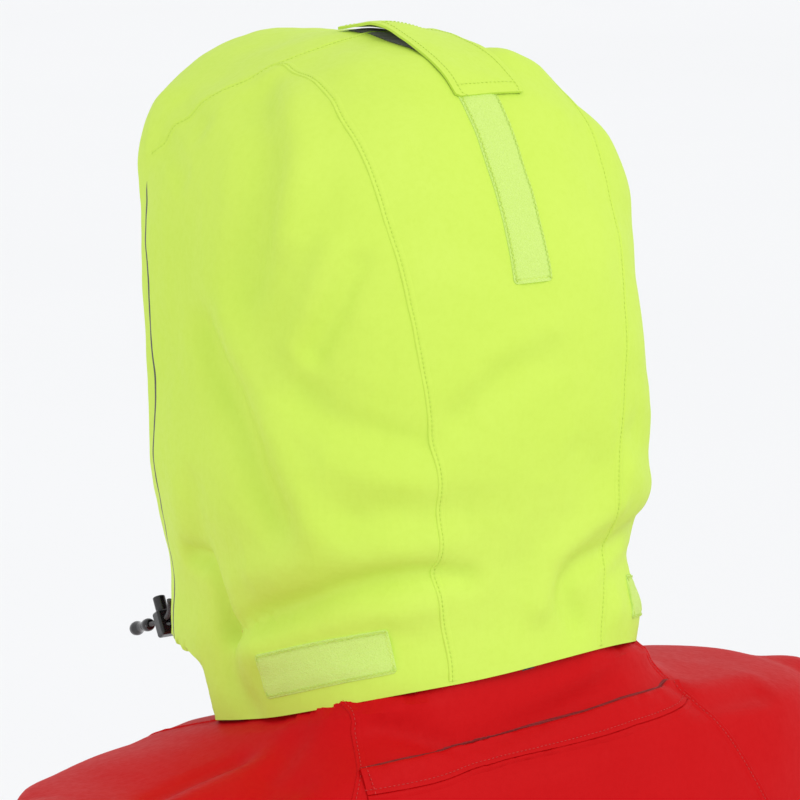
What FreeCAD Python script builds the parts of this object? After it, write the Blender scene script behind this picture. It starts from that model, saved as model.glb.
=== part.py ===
import math
import os

import FreeCAD
import Part
from FreeCAD import Vector

# Foul weather jacket with a raised hood, built as named pieces.
# Millimetres.  The wearer faces -Y, the wearer's left side is +X, up is +Z.
# The origin is the centre of the neck at the height of the nape seam.

# ---- driving dimensions -------------------------------------------------
WALL = 3.0             # lined cloth thickness of the shell
GAP = 0.3              # clearance kept between laid-on pieces
NECK_TILT = 0.33       # rise of the neck seam per mm of depth
NECK_BACK = 92.0       # back of the neck seam
HEM_Z = -800.0         # bottom of the jacket
FRONT_AT_NECK = -105.0
FRONT_NECK_Z = -64.0
FRONT_SLOPE = 0.0647   # lean of the straight front line
ARMHOLE_X = 238.0      # plane the sleeve starts from
HOOD_POWER = 2.5
TORSO_POWER = 2.6
SLEEVE_LEAN = 25.0     # degrees between a hanging sleeve and the vertical
SLEEVE_RUN = 395.0     # straight part of the sleeve
CUFF_LONG = 58.0
CORD_R = 1.4
ZIP_HALF_GAP = 10.0

# torso sections: height, half width, back, and front where it leaves the straight front line
TORSO = [(12, 120, 92, -60), (-22, 119, 93, -48), (-32, 128, 97, -42), (-38, 146, 101, -44),
         (-45, 185, 104, -53), (-54, 228, 108, -74.5), (-60, 242, 110, -91), (-66, 252, 111),
         (-90, 262, 117), (-150, 262, 126), (-225, 258, 131), (-262, 236, 132), (-320, 231, 130),
         (-450, 229, 126), (-620, 231, 130), (-800, 238, 138)]

# hood sections: height, half width, back, front
HOOD = [(-75, 121, 92, -135), (-10, 120, 92, -165), (20, 117, 89, -172), (45, 121, 89, -182),
        (80, 126, 93, -194), (122, 123, 96, -204), (150, 120, 95, -210), (200, 119.5, 88, -220),
        (240, 116.5, 73, -221), (265, 110, 61, -215), (285, 99, 50, -206), (303, 80, 36, -194),
        (317, 57, 15, -176), (326, 32, -13, -140), (331, 8, -42, -66)]

# front edge of the hood: height, depth
EDGE = [(-80, -108), (0, -114), (60, -116), (122, -122), (162, -131), (222, -137), (262, -146),
        (292, -163), (345, -163)]


# ---- small helpers ------------------------------------------------------
def front_y(z):
    return FRONT_AT_NECK + FRONT_SLOPE * (z - FRONT_NECK_Z)


def between(rows, z, column):
    for low, high in zip(rows, rows[1:]):
        if min(low[0], high[0]) <= z <= max(low[0], high[0]):
            share = (z - low[0]) / (high[0] - low[0])
            return low[column] + share * (high[column] - low[column])
    return rows[-1][column]


def oval(half, back, front, middle, power, z, count=36):
    points = []
    for step in range(count):
        turn = 2 * math.pi * step / count
        cosine, sine = math.cos(turn), math.sin(turn)
        depth = back - middle if sine > 0 else middle - front
        x = half * math.copysign(abs(cosine) ** (2 / power), cosine)
        y = middle + depth * math.copysign(abs(sine) ** (2 / power), sine)
        points.append(Vector(x, y, z))
    return points


def closed_wire(points):
    curve = Part.BSplineCurve()
    curve.interpolate(Points=points, PeriodicFlag=True)
    return Part.Wire([curve.toShape()])


def loft(sections):
    return Part.makeLoft([closed_wire(section) for section in sections], True, True)


def torso_solid(grow, lift=None):
    lift = grow if lift is None else lift
    sections = []
    for row in TORSO:
        z, half, back = row[:3]
        front = (row[3] if len(row) > 3 else front_y(z)) - grow
        middle = 0.5 * (back + grow + front)
        sections.append(oval(half + grow, back + grow, front, middle, TORSO_POWER, z + lift))
    return loft(sections)


def hood_solid(grow):
    sections = []
    for z, half, back, front in HOOD:
        middle = -30 - 20 * min(max((z - 200) / 130, 0), 1)
        sections.append(oval(half + grow, back + grow, front - grow, middle, HOOD_POWER, z + grow))
    return loft(sections)


def prism(points, start, length):
    wire = Part.makePolygon([start + p for p in points] + [start + points[0]])
    return Part.Face(wire).extrude(length)


def block(x0, x1, y0, y1, z0, z1):
    return Part.makeBox(x1 - x0, y1 - y0, z1 - z0, Vector(x0, y0, z0))


def side_prism(yz, x0=-700.0, x1=700.0):
    return prism([Vector(0, y, z) for y, z in yz], Vector(x0, 0, 0), Vector(x1 - x0, 0, 0))


def face_prism(xz, y0=-400.0, y1=400.0):
    return prism([Vector(x, 0, z) for x, z in xz], Vector(0, y0, 0), Vector(0, y1 - y0, 0))


def neck_slab(low, high):
    ends = []
    for y, rise in ((-400, low), (400, low), (400, high), (-400, high)):
        ends.append((y, NECK_TILT * (y - NECK_BACK) + rise))
    return side_prism(ends)


def wedge(start, end, z0=-900.0, z1=400.0, reach=600.0):
    points = [Vector(0, -6, z0)]
    for share in (0, 0.5, 1):
        turn = math.radians(start + share * (end - start))
        points.append(Vector(reach * math.cos(turn), -6 + reach * math.sin(turn), z0))
    return prism(points, Vector(0, 0, 0), Vector(0, 0, z1 - z0))


def mirrored(shape):
    return shape.mirror(Vector(0, 0, 0), Vector(1, 0, 0))


def largest(shape):
    return max(shape.Solids, key=lambda solid: solid.Volume)


def on_front(shape):
    lean = math.degrees(math.atan(FRONT_SLOPE))
    placed = shape.copy()
    placed.rotate(Vector(0, 0, 0), Vector(1, 0, 0), -lean)
    placed.translate(Vector(0, front_y(0), 0))
    return placed


def cylinder(radius, start, end):
    run = end - start
    return Part.makeCylinder(radius, run.Length, start, run)


nodes = {}


def keep(name, shape):
    nodes[name] = largest(shape)


# ---- torso --------------------------------------------------------------
torso_skin = {grow: torso_solid(grow) for grow in (0.0, -WALL)}
shell = torso_skin[0.0].cut(torso_skin[-WALL])
shell = shell.common(neck_slab(-1200, 0))
shell = shell.common(block(-ARMHOLE_X + 3, ARMHOLE_X - 3, -300, 300, HEM_Z, 60))
shell = shell.cut(block(-ZIP_HALF_GAP, ZIP_HALF_GAP, -300, -20, HEM_Z - 5, 60))
neck_ring = [Vector(117.5 * math.cos(math.pi * k / 18), -6 + 95 * math.sin(math.pi * k / 18), -110)
             for k in range(36)]
neck_hole = Part.Face(closed_wire(neck_ring)).extrude(Vector(0, 0, 200))
neck_hole = neck_hole.common(neck_slab(-16, 300))
shell = shell.cut(neck_hole)

raglan = [(97, 60), (97, -12), (110, -38), (158, -100), (206, -180), (240, -262), (300, -262), (300, 60)]
left_raglan = face_prism(raglan)
right_raglan = mirrored(left_raglan)
keep("shoulder_left", shell.common(left_raglan))
keep("shoulder_right", shell.common(right_raglan))
middle_shell = shell.cut(left_raglan).cut(right_raglan)
keep("hem_band", middle_shell.common(block(-400, 400, -300, 300, HEM_Z - 5, HEM_Z + 38)))
above_hem = middle_shell.cut(block(-400, 400, -300, 300, HEM_Z - 5, HEM_Z + 38))
back_side = block(-400, 400, -4, 300, HEM_Z, 60)
front_side = block(-400, 400, -300, -4, HEM_Z, 60)
yoke_zone = block(-400, 400, -4, 300, -44, 60)
keep("back_yoke", above_hem.common(yoke_zone))
keep("back_panel", above_hem.common(back_side).cut(yoke_zone))
keep("front_left", above_hem.common(front_side).common(block(0, 400, -300, 0, HEM_Z, 60)))
keep("front_right", above_hem.common(front_side).common(block(-400, 0, -300, 0, HEM_Z, 60)))

welt_outer = torso_solid(GAP + 2.2, 0.0).cut(torso_solid(GAP, 0.0))
welt_zone = face_prism([(-106, -50), (106, -50), (106, -37), (-106, -37)], 20, 300)
keep("back_welt", welt_outer.common(welt_zone))

lining = torso_solid(-WALL - 0.6).cut(torso_solid(-WALL - 1.6))
lining = lining.common(neck_slab(-1200, -30))
lining = lining.common(block(-ARMHOLE_X + 3, ARMHOLE_X - 3, -300, 300, HEM_Z + 45, 0))
lining = lining.cut(block(-22, 22, -300, -20, HEM_Z, 60)).cut(neck_hole.translated(Vector(0, 0, -24)))
keep("lining", lining)

# ---- collar -------------------------------------------------------------
def collar_solid(inset):
    sections = []
    for rise, half, back in ((-20, 117.4, 88.4), (15, 115.5, 85.2), (120, 110.0, 82.0)):
        section = oval(half - inset, back - inset, -104.9 + inset, -8, 2.1, 0)
        tilted = []
        for p in section:
            share = min(max(-p.y / 100.0, 0), 1)
            y = p.y + share * FRONT_SLOPE * rise
            tilted.append(Vector(p.x, y, NECK_TILT * (y - NECK_BACK) + rise))
        sections.append(tilted)
    return loft(sections)


collar_slot = block(-ZIP_HALF_GAP, ZIP_HALF_GAP, -300, 0, -300, 200)
collar_cut = neck_slab(0, 86)
collar = collar_solid(0).cut(collar_solid(WALL))
collar = collar.common(collar_cut).cut(collar_slot).common(hood_solid(-WALL - GAP))
collar_back = wedge(35, 145, -200, 200)
keep("collar_back", collar.common(collar_back))
collar_sides = collar.cut(collar_back)
keep("collar_left", collar_sides.common(block(0, 400, -400, 400, -300, 300)))
keep("collar_right", collar_sides.common(block(-400, 0, -400, 400, -300, 300)))
fleece = collar_solid(WALL + GAP).cut(collar_solid(WALL + GAP + 2.4))
fleece = fleece.common(neck_slab(4, 83)).cut(block(-16, 16, -300, 0, -300, 200))
keep("collar_lining", fleece)

# ---- hood ---------------------------------------------------------------
edge_line = [(y, z) for z, y in EDGE]
behind_edge = side_prism(edge_line + [(400, 345), (400, -80)])
chin_notch = side_prism([(-400, -400), (-84, -400), (-84, -27), (-400, -27)])
hood_shell = hood_solid(0.0).cut(hood_solid(-WALL))
hood_shell = hood_shell.common(neck_slab(0, 900)).common(behind_edge).cut(chin_notch)
centre_line = [(51, -80), (51, -3), (60, 93), (75.7, 200), (79, 300), (79, 400)]
centre_zone = face_prism(centre_line + [(-x, z) for x, z in reversed(centre_line)])
visor_zone = block(-300, 300, -400, -128, 262, 400)
keep("hood_visor", hood_shell.common(visor_zone))
behind_visor = hood_shell.cut(visor_zone)
keep("hood_center", behind_visor.common(centre_zone))
hood_sides = behind_visor.cut(centre_zone)
keep("hood_left", hood_sides.common(block(0, 400, -400, 400, -400, 500)))
keep("hood_right", hood_sides.common(block(-400, 0, -400, 400, -400, 500)))

facing_front = [(y - 4.5, z) for z, y in EDGE]
facing_back = [(y + 20, z) for z, y in reversed(EDGE)]
facing = hood_solid(-WALL - GAP - 0.2).cut(hood_solid(-WALL - GAP - 2.0))
facing = facing.common(side_prism(facing_front + facing_back)).common(neck_slab(6, 900))
keep("hood_facing", facing.cut(side_prism([(-400, -400), (-80, -400), (-80, -25), (-400, -25)])))

strip_skin = hood_solid(GAP + 0.9).cut(hood_solid(GAP))
keep("hood_loop_strip", strip_skin.common(block(-12.5, 12.5, 5, 200, 200, 400)))
patch_zone = neck_slab(9, 34).common(wedge(16, 58))
patch = strip_skin.common(patch_zone)
keep("hood_patch_left", patch)
keep("hood_patch_right", mirrored(largest(patch)))
tab = hood_solid(GAP + 3.6).cut(hood_solid(GAP + 1.6))
tab = tab.common(block(-22.5, 22.5, -34, 46, 280, 400))
keep("hood_tab", tab)

# ---- hood adjuster cords ------------------------------------------------
def cord_path(corners):
    bends = []
    for before, corner, after in zip(corners, corners[1:], corners[2:]):
        into = (corner - before).normalize()
        out = (after - corner).normalize()
        turn = into.getAngle(out)
        reach = 0.45 * min((corner - before).Length, (after - corner).Length)
        radius = reach / math.tan(turn / 2)
        bends.append((corner, into, out, reach, radius, turn))
        print("bend radius", round(radius, 2))
    edges = []
    length = 0.0
    last = corners[0]
    for corner, into, out, reach, radius, turn in bends:
        start = corner - into * reach
        end = corner + out * reach
        centre_way = (out - into).normalize()
        centre = corner + centre_way * (radius / math.cos(turn / 2))
        halfway = centre - centre_way * radius
        edges.append(Part.makeLine(last, start))
        edges.append(Part.Arc(start, halfway, end).toShape())
        length += (start - last).Length + radius * turn
        last = end
    edges.append(Part.makeLine(last, corners[-1]))
    length += (corners[-1] - last).Length
    print("cord length", round(length, 1))
    return Part.Wire(edges)


def tube(path, radius, start, way):
    circle = Part.makeCircle(radius, start, way)
    return path.makePipeShell([Part.Wire([circle])], True, False)


CORD_EXIT = Vector(102.0, -117.0, 1.5)
CORD_BEND = Vector(97.5, -120.0, -13.0)
CORD_TIP = Vector(94.0, -150.5, -21.0)
LOCK_TILT = 16.0       # degrees the lock leans forward on its cord
corners = [CORD_EXIT, CORD_BEND, CORD_TIP]
cord = tube(cord_path(corners), CORD_R, CORD_EXIT, CORD_BEND - CORD_EXIT)
keep("hood_cord_left", cord)
keep("hood_cord_right", mirrored(cord))

run = (CORD_TIP - CORD_BEND).normalize()
across = Vector(1, 0, 0)
rise = run.cross(across).normalize()
if rise.z < 0:
    rise = rise * -1
side = rise.cross(run).normalize()
lock_centre = CORD_BEND + run * 11.0
LOCK_LONG, LOCK_WIDE, LOCK_DEEP = 15.0, 10.5, 9.0
BUTTON_R, BUTTON_OUT, BUTTON_TRAVEL = 3.6, 8.5, 3.0


button_way = FreeCAD.Rotation(side, LOCK_TILT).multVec(rise)


def lock_frame(shape):
    tilt = FreeCAD.Rotation(side, LOCK_TILT if button_way.y < 0 else -LOCK_TILT)
    turn = FreeCAD.Rotation(side, run, rise, "ZXY")
    placed = shape.copy()
    placed.Placement = FreeCAD.Placement(lock_centre, tilt.multiply(turn))
    return placed


body = block(-LOCK_WIDE / 2, LOCK_WIDE / 2, -LOCK_DEEP / 2, LOCK_DEEP / 2, -LOCK_LONG / 2, LOCK_LONG / 2)
body = body.makeFillet(1.6, body.Edges)
bore = Part.makeCylinder(BUTTON_R + 0.3, LOCK_LONG, Vector(0, 0, -LOCK_LONG / 2 + 1.5))
tunnel = cylinder(CORD_R + 0.4, lock_centre - run * 15, lock_centre + run * 15)
keep("cord_lock_left", lock_frame(body.cut(bore)).cut(tunnel))
keep("cord_lock_right", mirrored(nodes["cord_lock_left"]))

button_low = -LOCK_LONG / 2 + 1.5 + BUTTON_TRAVEL + 0.5
button_high = LOCK_LONG / 2 + BUTTON_OUT
button = Part.makeCylinder(BUTTON_R, button_high - button_low, Vector(0, 0, button_low))
top_edge = [e for e in button.Edges if abs(e.BoundBox.ZMin - button_high) < 0.01 and len(e.Vertexes) == 1]
button = button.makeFillet(0.8, top_edge[:1])
slot_high = CORD_R + 0.4 + BUTTON_TRAVEL + BUTTON_R * math.tan(math.radians(LOCK_TILT))
slot = block(-10, 10, -10, 10, button_low - 1, slot_high)
slot = slot.common(block(-CORD_R - 0.4, CORD_R + 0.4, -10, 10, -40, 40))
keep("lock_button_left", lock_frame(button.cut(slot)))
keep("lock_button_right", mirrored(nodes["lock_button_left"]))

end_start = CORD_TIP + run * GAP
end_neck = cylinder(2.3, end_start, end_start + run * 12)
knob_a = Part.makeSphere(3.0, end_start + run * 3.0)
knob_b = Part.makeSphere(3.4, end_start + run * 13.0)
keep("cord_end_left", end_neck.fuse(knob_a).fuse(knob_b).cut(cylinder(CORD_R + GAP, end_start - run, end_start)))
keep("cord_end_right", mirrored(nodes["cord_end_left"]))

# ---- sleeves ------------------------------------------------------------
lean = math.radians(SLEEVE_LEAN)
ARM = Vector(math.sin(lean), 0, -math.cos(lean))
OUT = Vector(math.cos(lean), 0, math.sin(lean))
SHOULDER = [((238, -57), (238, -254), 66), ((258, -59.5), (242, -258), 69), ((278, -67), (247, -262), 71),
            ((298, -83), (251, -267), 72), ((318, -109), (255, -273), 72), ((340, -151), (258, -281), 70)]
ARM_Y = 6.0
ARM_START = Vector(322, ARM_Y, -262)
ARM_R0, ARM_R1, CUFF_R = 64.0, 47.0, 41.0


def arm_oval(centre, across_way, half, deep, count=28):
    points = []
    for step in range(count):
        turn = 2 * math.pi * step / count
        points.append(centre + across_way * (half * math.cos(turn)) + Vector(0, deep * math.sin(turn), 0))
    return points


def arm_section(run_at, grow):
    share = run_at / SLEEVE_RUN
    radius = ARM_R0 + share * (ARM_R1 - ARM_R0) + grow
    return arm_oval(ARM_START + ARM * run_at, OUT, radius, radius * 1.04)


def sleeve_solid(grow, reach):
    sections = []
    for (top_x, top_z), (low_x, low_z), deep in SHOULDER:
        top, low = Vector(top_x, ARM_Y, top_z), Vector(low_x, ARM_Y, low_z)
        way = (top - low).normalize()
        sections.append(arm_oval((top + low) * 0.5, way, (top - low).Length / 2 + grow, deep + grow))
    for share in (0.0, 0.35, 0.7, 1.0):
        sections.append(arm_section(share * reach, grow))
    return loft(sections)


sleeve = sleeve_solid(0, SLEEVE_RUN).cut(sleeve_solid(-WALL, SLEEVE_RUN))
keep("sleeve_left", sleeve)
keep("sleeve_right", mirrored(nodes["sleeve_left"]))


def ring(run_a, run_b, out_grow, in_grow):
    outer = loft([arm_section(run_a, out_grow), arm_section(run_b, out_grow)])
    inner = loft([arm_section(run_a - 1, in_grow), arm_section(run_b + 1, in_grow)])
    return outer.cut(inner)


keep("sleeve_band_left", ring(150, 200, GAP + 0.9, GAP))
keep("sleeve_band_right", mirrored(nodes["sleeve_band_left"]))


def cuff_section(run_at, grow):
    share = run_at / CUFF_LONG
    radius = ARM_R1 + share * (CUFF_R - ARM_R1) + grow
    return arm_oval(ARM_START + ARM * (SLEEVE_RUN + run_at), OUT, radius, radius * 1.04)


def cuff_ring(run_a, run_b, out_grow, in_grow):
    outer = loft([cuff_section(run_a, out_grow), cuff_section(run_b, out_grow)])
    inner = loft([cuff_section(run_a - 1, in_grow), cuff_section(run_b + 1, in_grow)])
    return outer.cut(inner)


keep("cuff_left", cuff_ring(0, CUFF_LONG, 0, -WALL))
keep("cuff_right", mirrored(nodes["cuff_left"]))


def arm_wedge(start, end):
    centre = ARM_START + ARM * (SLEEVE_RUN - 20)
    points = [Vector(0, 0, 0)]
    for share in (0, 0.5, 1):
        turn = math.radians(start + share * (end - start))
        points.append(OUT * (200 * math.cos(turn)) + Vector(0, 200 * math.sin(turn), 0))
    return prism(points, centre, ARM * 200)


TAB_FROM, TAB_TO = 10.0, 88.0
cuff_tab = cuff_ring(16, 46, GAP + 2.6, GAP + 0.2).common(arm_wedge(TAB_FROM, TAB_TO))
keep("cuff_tab_left", cuff_tab)
keep("cuff_tab_right", mirrored(nodes["cuff_tab_left"]))

# ---- front zip and storm flap -------------------------------------------
ZIP_MID = 4.0
ZIP_LOW, ZIP_TOP = -792.0, 16.0
SLIDER_AT = 6.0
tape = block(3.5, 13.5, ZIP_MID - 0.4, ZIP_MID + 0.4, ZIP_LOW, ZIP_TOP)
teeth = block(0.6, 3.4, ZIP_MID - 2.3, ZIP_MID + 2.3, ZIP_LOW + 10, ZIP_TOP)
keep("zip_tape_left", on_front(tape))
keep("zip_tape_right", mirrored(nodes["zip_tape_left"]))
tape_room = on_front(block(-13.8, 13.8, ZIP_MID - 0.7, ZIP_MID + 0.7, ZIP_LOW, ZIP_TOP))
for name in ("front_left", "front_right"):
    keep(name, nodes[name].cut(tape_room))
keep("zip_teeth_left", on_front(teeth))
keep("zip_teeth_right", mirrored(nodes["zip_teeth_left"]))
keep("zip_box", on_front(block(-3.2, 3.2, ZIP_MID - 2.6, ZIP_MID + 2.6, ZIP_LOW, ZIP_LOW + 9)))

slider = block(-5.4, 5.4, ZIP_MID - 4.1, ZIP_MID - 2.7, -7.5, 7.5)
slider = slider.fuse(block(-5.4, 5.4, ZIP_MID + 2.7, ZIP_MID + 4.1, -7.5, 7.5))
slider = slider.fuse(block(-0.28, 0.28, ZIP_MID - 2.8, ZIP_MID + 2.8, -7.5, 7.5))
PIN_OUT = ZIP_MID - 6.1
for way in (-1, 1):
    x0, x1 = sorted((way * 4.4, way * 5.4))
    slider = slider.fuse(block(x0, x1, ZIP_MID - 2.8, ZIP_MID - 0.9, -7.5, 7.5))
    lug = Part.makeCylinder(1.4, 1.2, Vector(1.3 if way > 0 else -2.5, PIN_OUT, 4.5), Vector(1, 0, 0))
    foot = block(1.3 if way > 0 else -2.5, 2.5 if way > 0 else -1.3, PIN_OUT, ZIP_MID - 4.0, 3.1, 5.9)
    slider = slider.fuse(lug).fuse(foot)
slider = slider.fuse(Part.makeCylinder(0.5, 4.0, Vector(-2.0, PIN_OUT, 4.5), Vector(1, 0, 0)))
slider.translate(Vector(0, 0, SLIDER_AT))
keep("zip_slider", on_front(slider))

pull = Part.makeCylinder(1.55, 1.8, Vector(-0.9, PIN_OUT, 4.5), Vector(1, 0, 0))
pull = pull.fuse(block(-0.9, 0.9, PIN_OUT - 0.6, PIN_OUT + 0.6, -2.5, 4.5))
grip = block(-4.0, 4.0, PIN_OUT - 0.7, PIN_OUT + 0.7, -30, -2.0)
grip = grip.makeFillet(0.5, grip.Edges)
pull = pull.fuse(grip).cut(Part.makeCylinder(0.85, 4.0, Vector(-2, PIN_OUT, 4.5), Vector(1, 0, 0)))
pull.translate(Vector(0, 0, SLIDER_AT))
keep("zip_pull", on_front(pull))

FLAP_HINGE = 40.0
FLAP_MID = -6.0
FLAP_LOW, FLAP_TOP = -775.0, -74.0
flap = block(-28, FLAP_HINGE, FLAP_MID - 1.25, FLAP_MID + 1.25, FLAP_LOW, FLAP_TOP)
keep("storm_flap", on_front(flap))
keep("storm_flap_root", on_front(block(31, 47, FLAP_MID + 1.6, -0.5, FLAP_LOW, FLAP_TOP)))

# ---- patch pockets ------------------------------------------------------
POCKET_X0, POCKET_X1 = 66.0, 190.0
POCKET_TOP, POCKET_LOW = -560.0, -720.0
FLAP_HIGH, FLAP_DROP = -543.0, 58.0
pocket_skin = torso_solid(12.0, 0.0).cut(torso_solid(0.5, 0.0))
pocket = pocket_skin.common(block(POCKET_X0, POCKET_X1, -300, 0, POCKET_LOW, POCKET_TOP))
keep("pocket_left", pocket)
keep("pocket_right", mirrored(nodes["pocket_left"]))
lid_skin = torso_solid(15.5, 0.0).cut(torso_solid(13.0, 0.0))
lid = lid_skin.common(block(POCKET_X0 - 3, POCKET_X1 + 3, -300, 0, FLAP_HIGH - FLAP_DROP, FLAP_HIGH))
keep("pocket_flap_left", lid)
keep("pocket_flap_right", mirrored(nodes["pocket_flap_left"]))

# ---- hang loop ----------------------------------------------------------
LOOP_R, LOOP_WIDE = 11.0, 8.0
loop_centre = Vector(0, 79.5, -21)
loop = Part.makeCylinder(LOOP_R + 1.6, LOOP_WIDE, loop_centre, Vector(0, 1, 0))
loop = loop.cut(Part.makeCylinder(LOOP_R, LOOP_WIDE + 2, loop_centre - Vector(0, 1, 0), Vector(0, 1, 0)))
keep("hang_loop", loop)

# ---- files --------------------------------------------------------------
os.makedirs("parts", exist_ok=True)
for name, shape in nodes.items():
    shape.exportStep("parts/" + name + ".step")
    box = shape.BoundBox
    spans = [round(v, 1) for v in (box.XMin, box.XMax, box.YMin, box.YMax, box.ZMin, box.ZMax)]
    print(name, "valid" if shape.isValid() else "INVALID", round(shape.Volume), spans)
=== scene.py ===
import math

import bmesh
import bpy
import numpy as np
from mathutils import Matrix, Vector
from mathutils.bvhtree import BVHTree


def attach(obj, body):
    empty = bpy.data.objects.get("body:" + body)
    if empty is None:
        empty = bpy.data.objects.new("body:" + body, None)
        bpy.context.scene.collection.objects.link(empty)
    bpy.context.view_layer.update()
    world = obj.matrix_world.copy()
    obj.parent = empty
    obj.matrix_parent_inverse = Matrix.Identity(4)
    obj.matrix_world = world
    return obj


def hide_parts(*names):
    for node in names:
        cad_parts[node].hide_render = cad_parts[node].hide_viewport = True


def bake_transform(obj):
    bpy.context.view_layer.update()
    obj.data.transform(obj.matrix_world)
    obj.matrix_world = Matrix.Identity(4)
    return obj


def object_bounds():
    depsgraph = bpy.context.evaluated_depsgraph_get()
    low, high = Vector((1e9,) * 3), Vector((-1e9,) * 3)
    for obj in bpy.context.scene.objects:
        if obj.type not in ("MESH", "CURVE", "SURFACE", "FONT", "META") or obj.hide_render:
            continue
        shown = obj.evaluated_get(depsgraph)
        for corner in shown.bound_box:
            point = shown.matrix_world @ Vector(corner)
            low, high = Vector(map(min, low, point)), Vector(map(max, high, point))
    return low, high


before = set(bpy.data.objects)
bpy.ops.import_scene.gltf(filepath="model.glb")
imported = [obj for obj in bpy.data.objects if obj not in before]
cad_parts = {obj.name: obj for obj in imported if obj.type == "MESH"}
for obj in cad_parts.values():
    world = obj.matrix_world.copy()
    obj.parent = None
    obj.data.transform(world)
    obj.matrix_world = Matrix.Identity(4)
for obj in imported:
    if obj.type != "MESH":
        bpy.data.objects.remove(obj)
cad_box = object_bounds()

# Lengths in the shape code are in millimetres; they become metres when a mesh is made.
MM = 0.001


# ---------------------------------------------------------------- numbers
class Smooth:
    """A monotone cubic through (x, y) pairs."""

    def __init__(self, xs, ys):
        order = np.argsort(xs)
        self.x = np.asarray(xs, float)[order]
        self.y = np.asarray(ys, float)[order]
        width = np.diff(self.x)
        slope = np.diff(self.y) / width
        self.m = np.zeros_like(self.y)
        before, after = slope[:-1], slope[1:]
        near, far = 2 * width[1:] + width[:-1], width[1:] + 2 * width[:-1]
        same = before * after > 0
        self.m[1:-1][same] = (near + far)[same] / (near[same] / before[same] + far[same] / after[same])
        self.m[0], self.m[-1] = slope[0], slope[-1]

    def __call__(self, q):
        q = np.clip(q, self.x[0], self.x[-1])
        i = np.clip(np.searchsorted(self.x, q) - 1, 0, len(self.x) - 2)
        h = self.x[i + 1] - self.x[i]
        t = (q - self.x[i]) / h
        a = (1 + 2 * t) * (1 - t) ** 2 * self.y[i] + t * (1 - t) ** 2 * h * self.m[i]
        return a + t * t * (3 - 2 * t) * self.y[i + 1] + t * t * (t - 1) * h * self.m[i + 1]


def unit(v):
    """Vectors at length one."""
    return v / np.maximum(np.linalg.norm(v, axis=-1, keepdims=True), 1e-12)


def step(low, high, value):
    """A soft step: 0 at low, 1 at high, with an S between."""
    t = np.clip((value - low) / (high - low), 0, 1)
    return t * t * (3 - 2 * t)


def line_gap(points, line):
    """Distance of each point to a polyline, and how far along it the nearest place is."""
    line = np.asarray(line, float)
    best = np.full(len(points), 1e9)
    along = np.zeros(len(points))
    run = 0.0
    for a, b in zip(line, line[1:]):
        d = b - a
        length = np.linalg.norm(d)
        t = np.clip((points - a) @ d / length ** 2, 0, 1)
        gap = np.linalg.norm(points - (a + t[:, None] * d), axis=1)
        near = gap < best
        best[near] = gap[near]
        along[near] = (run + t * length)[near]
        run += length
    return best, along / run


def smooth_line(line, count):
    """Count points evenly spaced on a smooth curve through the given ones."""
    line = np.asarray(line, float)
    at = np.concatenate([[0], np.cumsum(np.linalg.norm(np.diff(line, axis=0), axis=1))])
    fine = np.linspace(0, at[-1], count * 4)
    curve = np.stack([Smooth(at, line[:, k])(fine) for k in range(3)], 1)
    run = np.concatenate([[0], np.cumsum(np.linalg.norm(np.diff(curve, axis=0), axis=1))])
    even = np.linspace(0, run[-1], count)
    return np.stack([np.interp(even, run, curve[:, k]) for k in range(3)], 1)


WAVES = 9


def wave_noise(points, size, seed):
    """Smooth waves in random directions, between about -1 and 1."""
    rng = np.random.default_rng(seed)
    total = np.zeros(len(points))
    for _ in range(WAVES):
        way = unit(rng.normal(size=3))
        pitch = size * rng.uniform(0.7, 1.5)
        total += np.sin(points @ way * (2 * math.pi / pitch) + rng.uniform(0, 6.28))
    return total / math.sqrt(WAVES) / 1.3


def folded(points, strokes):
    """Height added by dents and folds: each is (depth, width, line)."""
    total = np.zeros(len(points))
    for depth, width, line in strokes:
        gap, _ = line_gap(points, smooth_line(line, 24))
        total += depth * np.exp(-(gap / width) ** 2)
    return total


# ---------------------------------------------------------------- meshes
def linked(name, data):
    """An object in the scene for some data."""
    obj = bpy.data.objects.new(name, data)
    bpy.context.scene.collection.objects.link(obj)
    return obj


def new_object(name, verts, faces):
    """A mesh object from places in millimetres."""
    mesh = bpy.data.meshes.new(name)
    places = (np.asarray(verts, float) * MM).tolist()
    mesh.from_pydata(places, [], [list(map(int, f)) for f in faces])
    mesh.validate()
    return linked(name, mesh)


def coords(obj):
    """The places of a mesh's vertices in millimetres."""
    co = np.zeros(len(obj.data.vertices) * 3, np.float32)
    obj.data.vertices.foreach_get("co", co)
    return co.reshape(-1, 3).astype(float) / MM


def set_coords(obj, points):
    obj.data.vertices.foreach_set("co", (np.asarray(points) * MM).astype(np.float32).ravel())
    obj.data.update()


def corner_normals(points, faces):
    """Vertex normals of a mesh given as arrays of points and quads or triangles."""
    faces = np.asarray(faces)
    a, b = points[faces[:, 0]], points[faces[:, 1]]
    c, d = points[faces[:, 2]], points[faces[:, -1]]
    n = np.cross(c - a, d - b) if faces.shape[1] == 4 else np.cross(b - a, c - a)
    total = np.zeros_like(points)
    for k in range(faces.shape[1]):
        np.add.at(total, faces[:, k], n)
    return unit(total)


def finished(obj):
    """The object with its modifiers applied."""
    graph = bpy.context.evaluated_depsgraph_get()
    mesh = bpy.data.meshes.new_from_object(obj.evaluated_get(graph))
    mesh.name = obj.name
    old = obj.data
    obj.modifiers.clear()
    obj.data = mesh
    bpy.data.meshes.remove(old)
    return obj


def joined(name, objects):
    """One mesh from several."""
    bm = bmesh.new()
    for obj in objects:
        bm.from_mesh(obj.data)
        bpy.data.objects.remove(obj)
    mesh = bpy.data.meshes.new(name)
    bm.to_mesh(mesh)
    bm.free()
    return linked(name, mesh)


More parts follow.
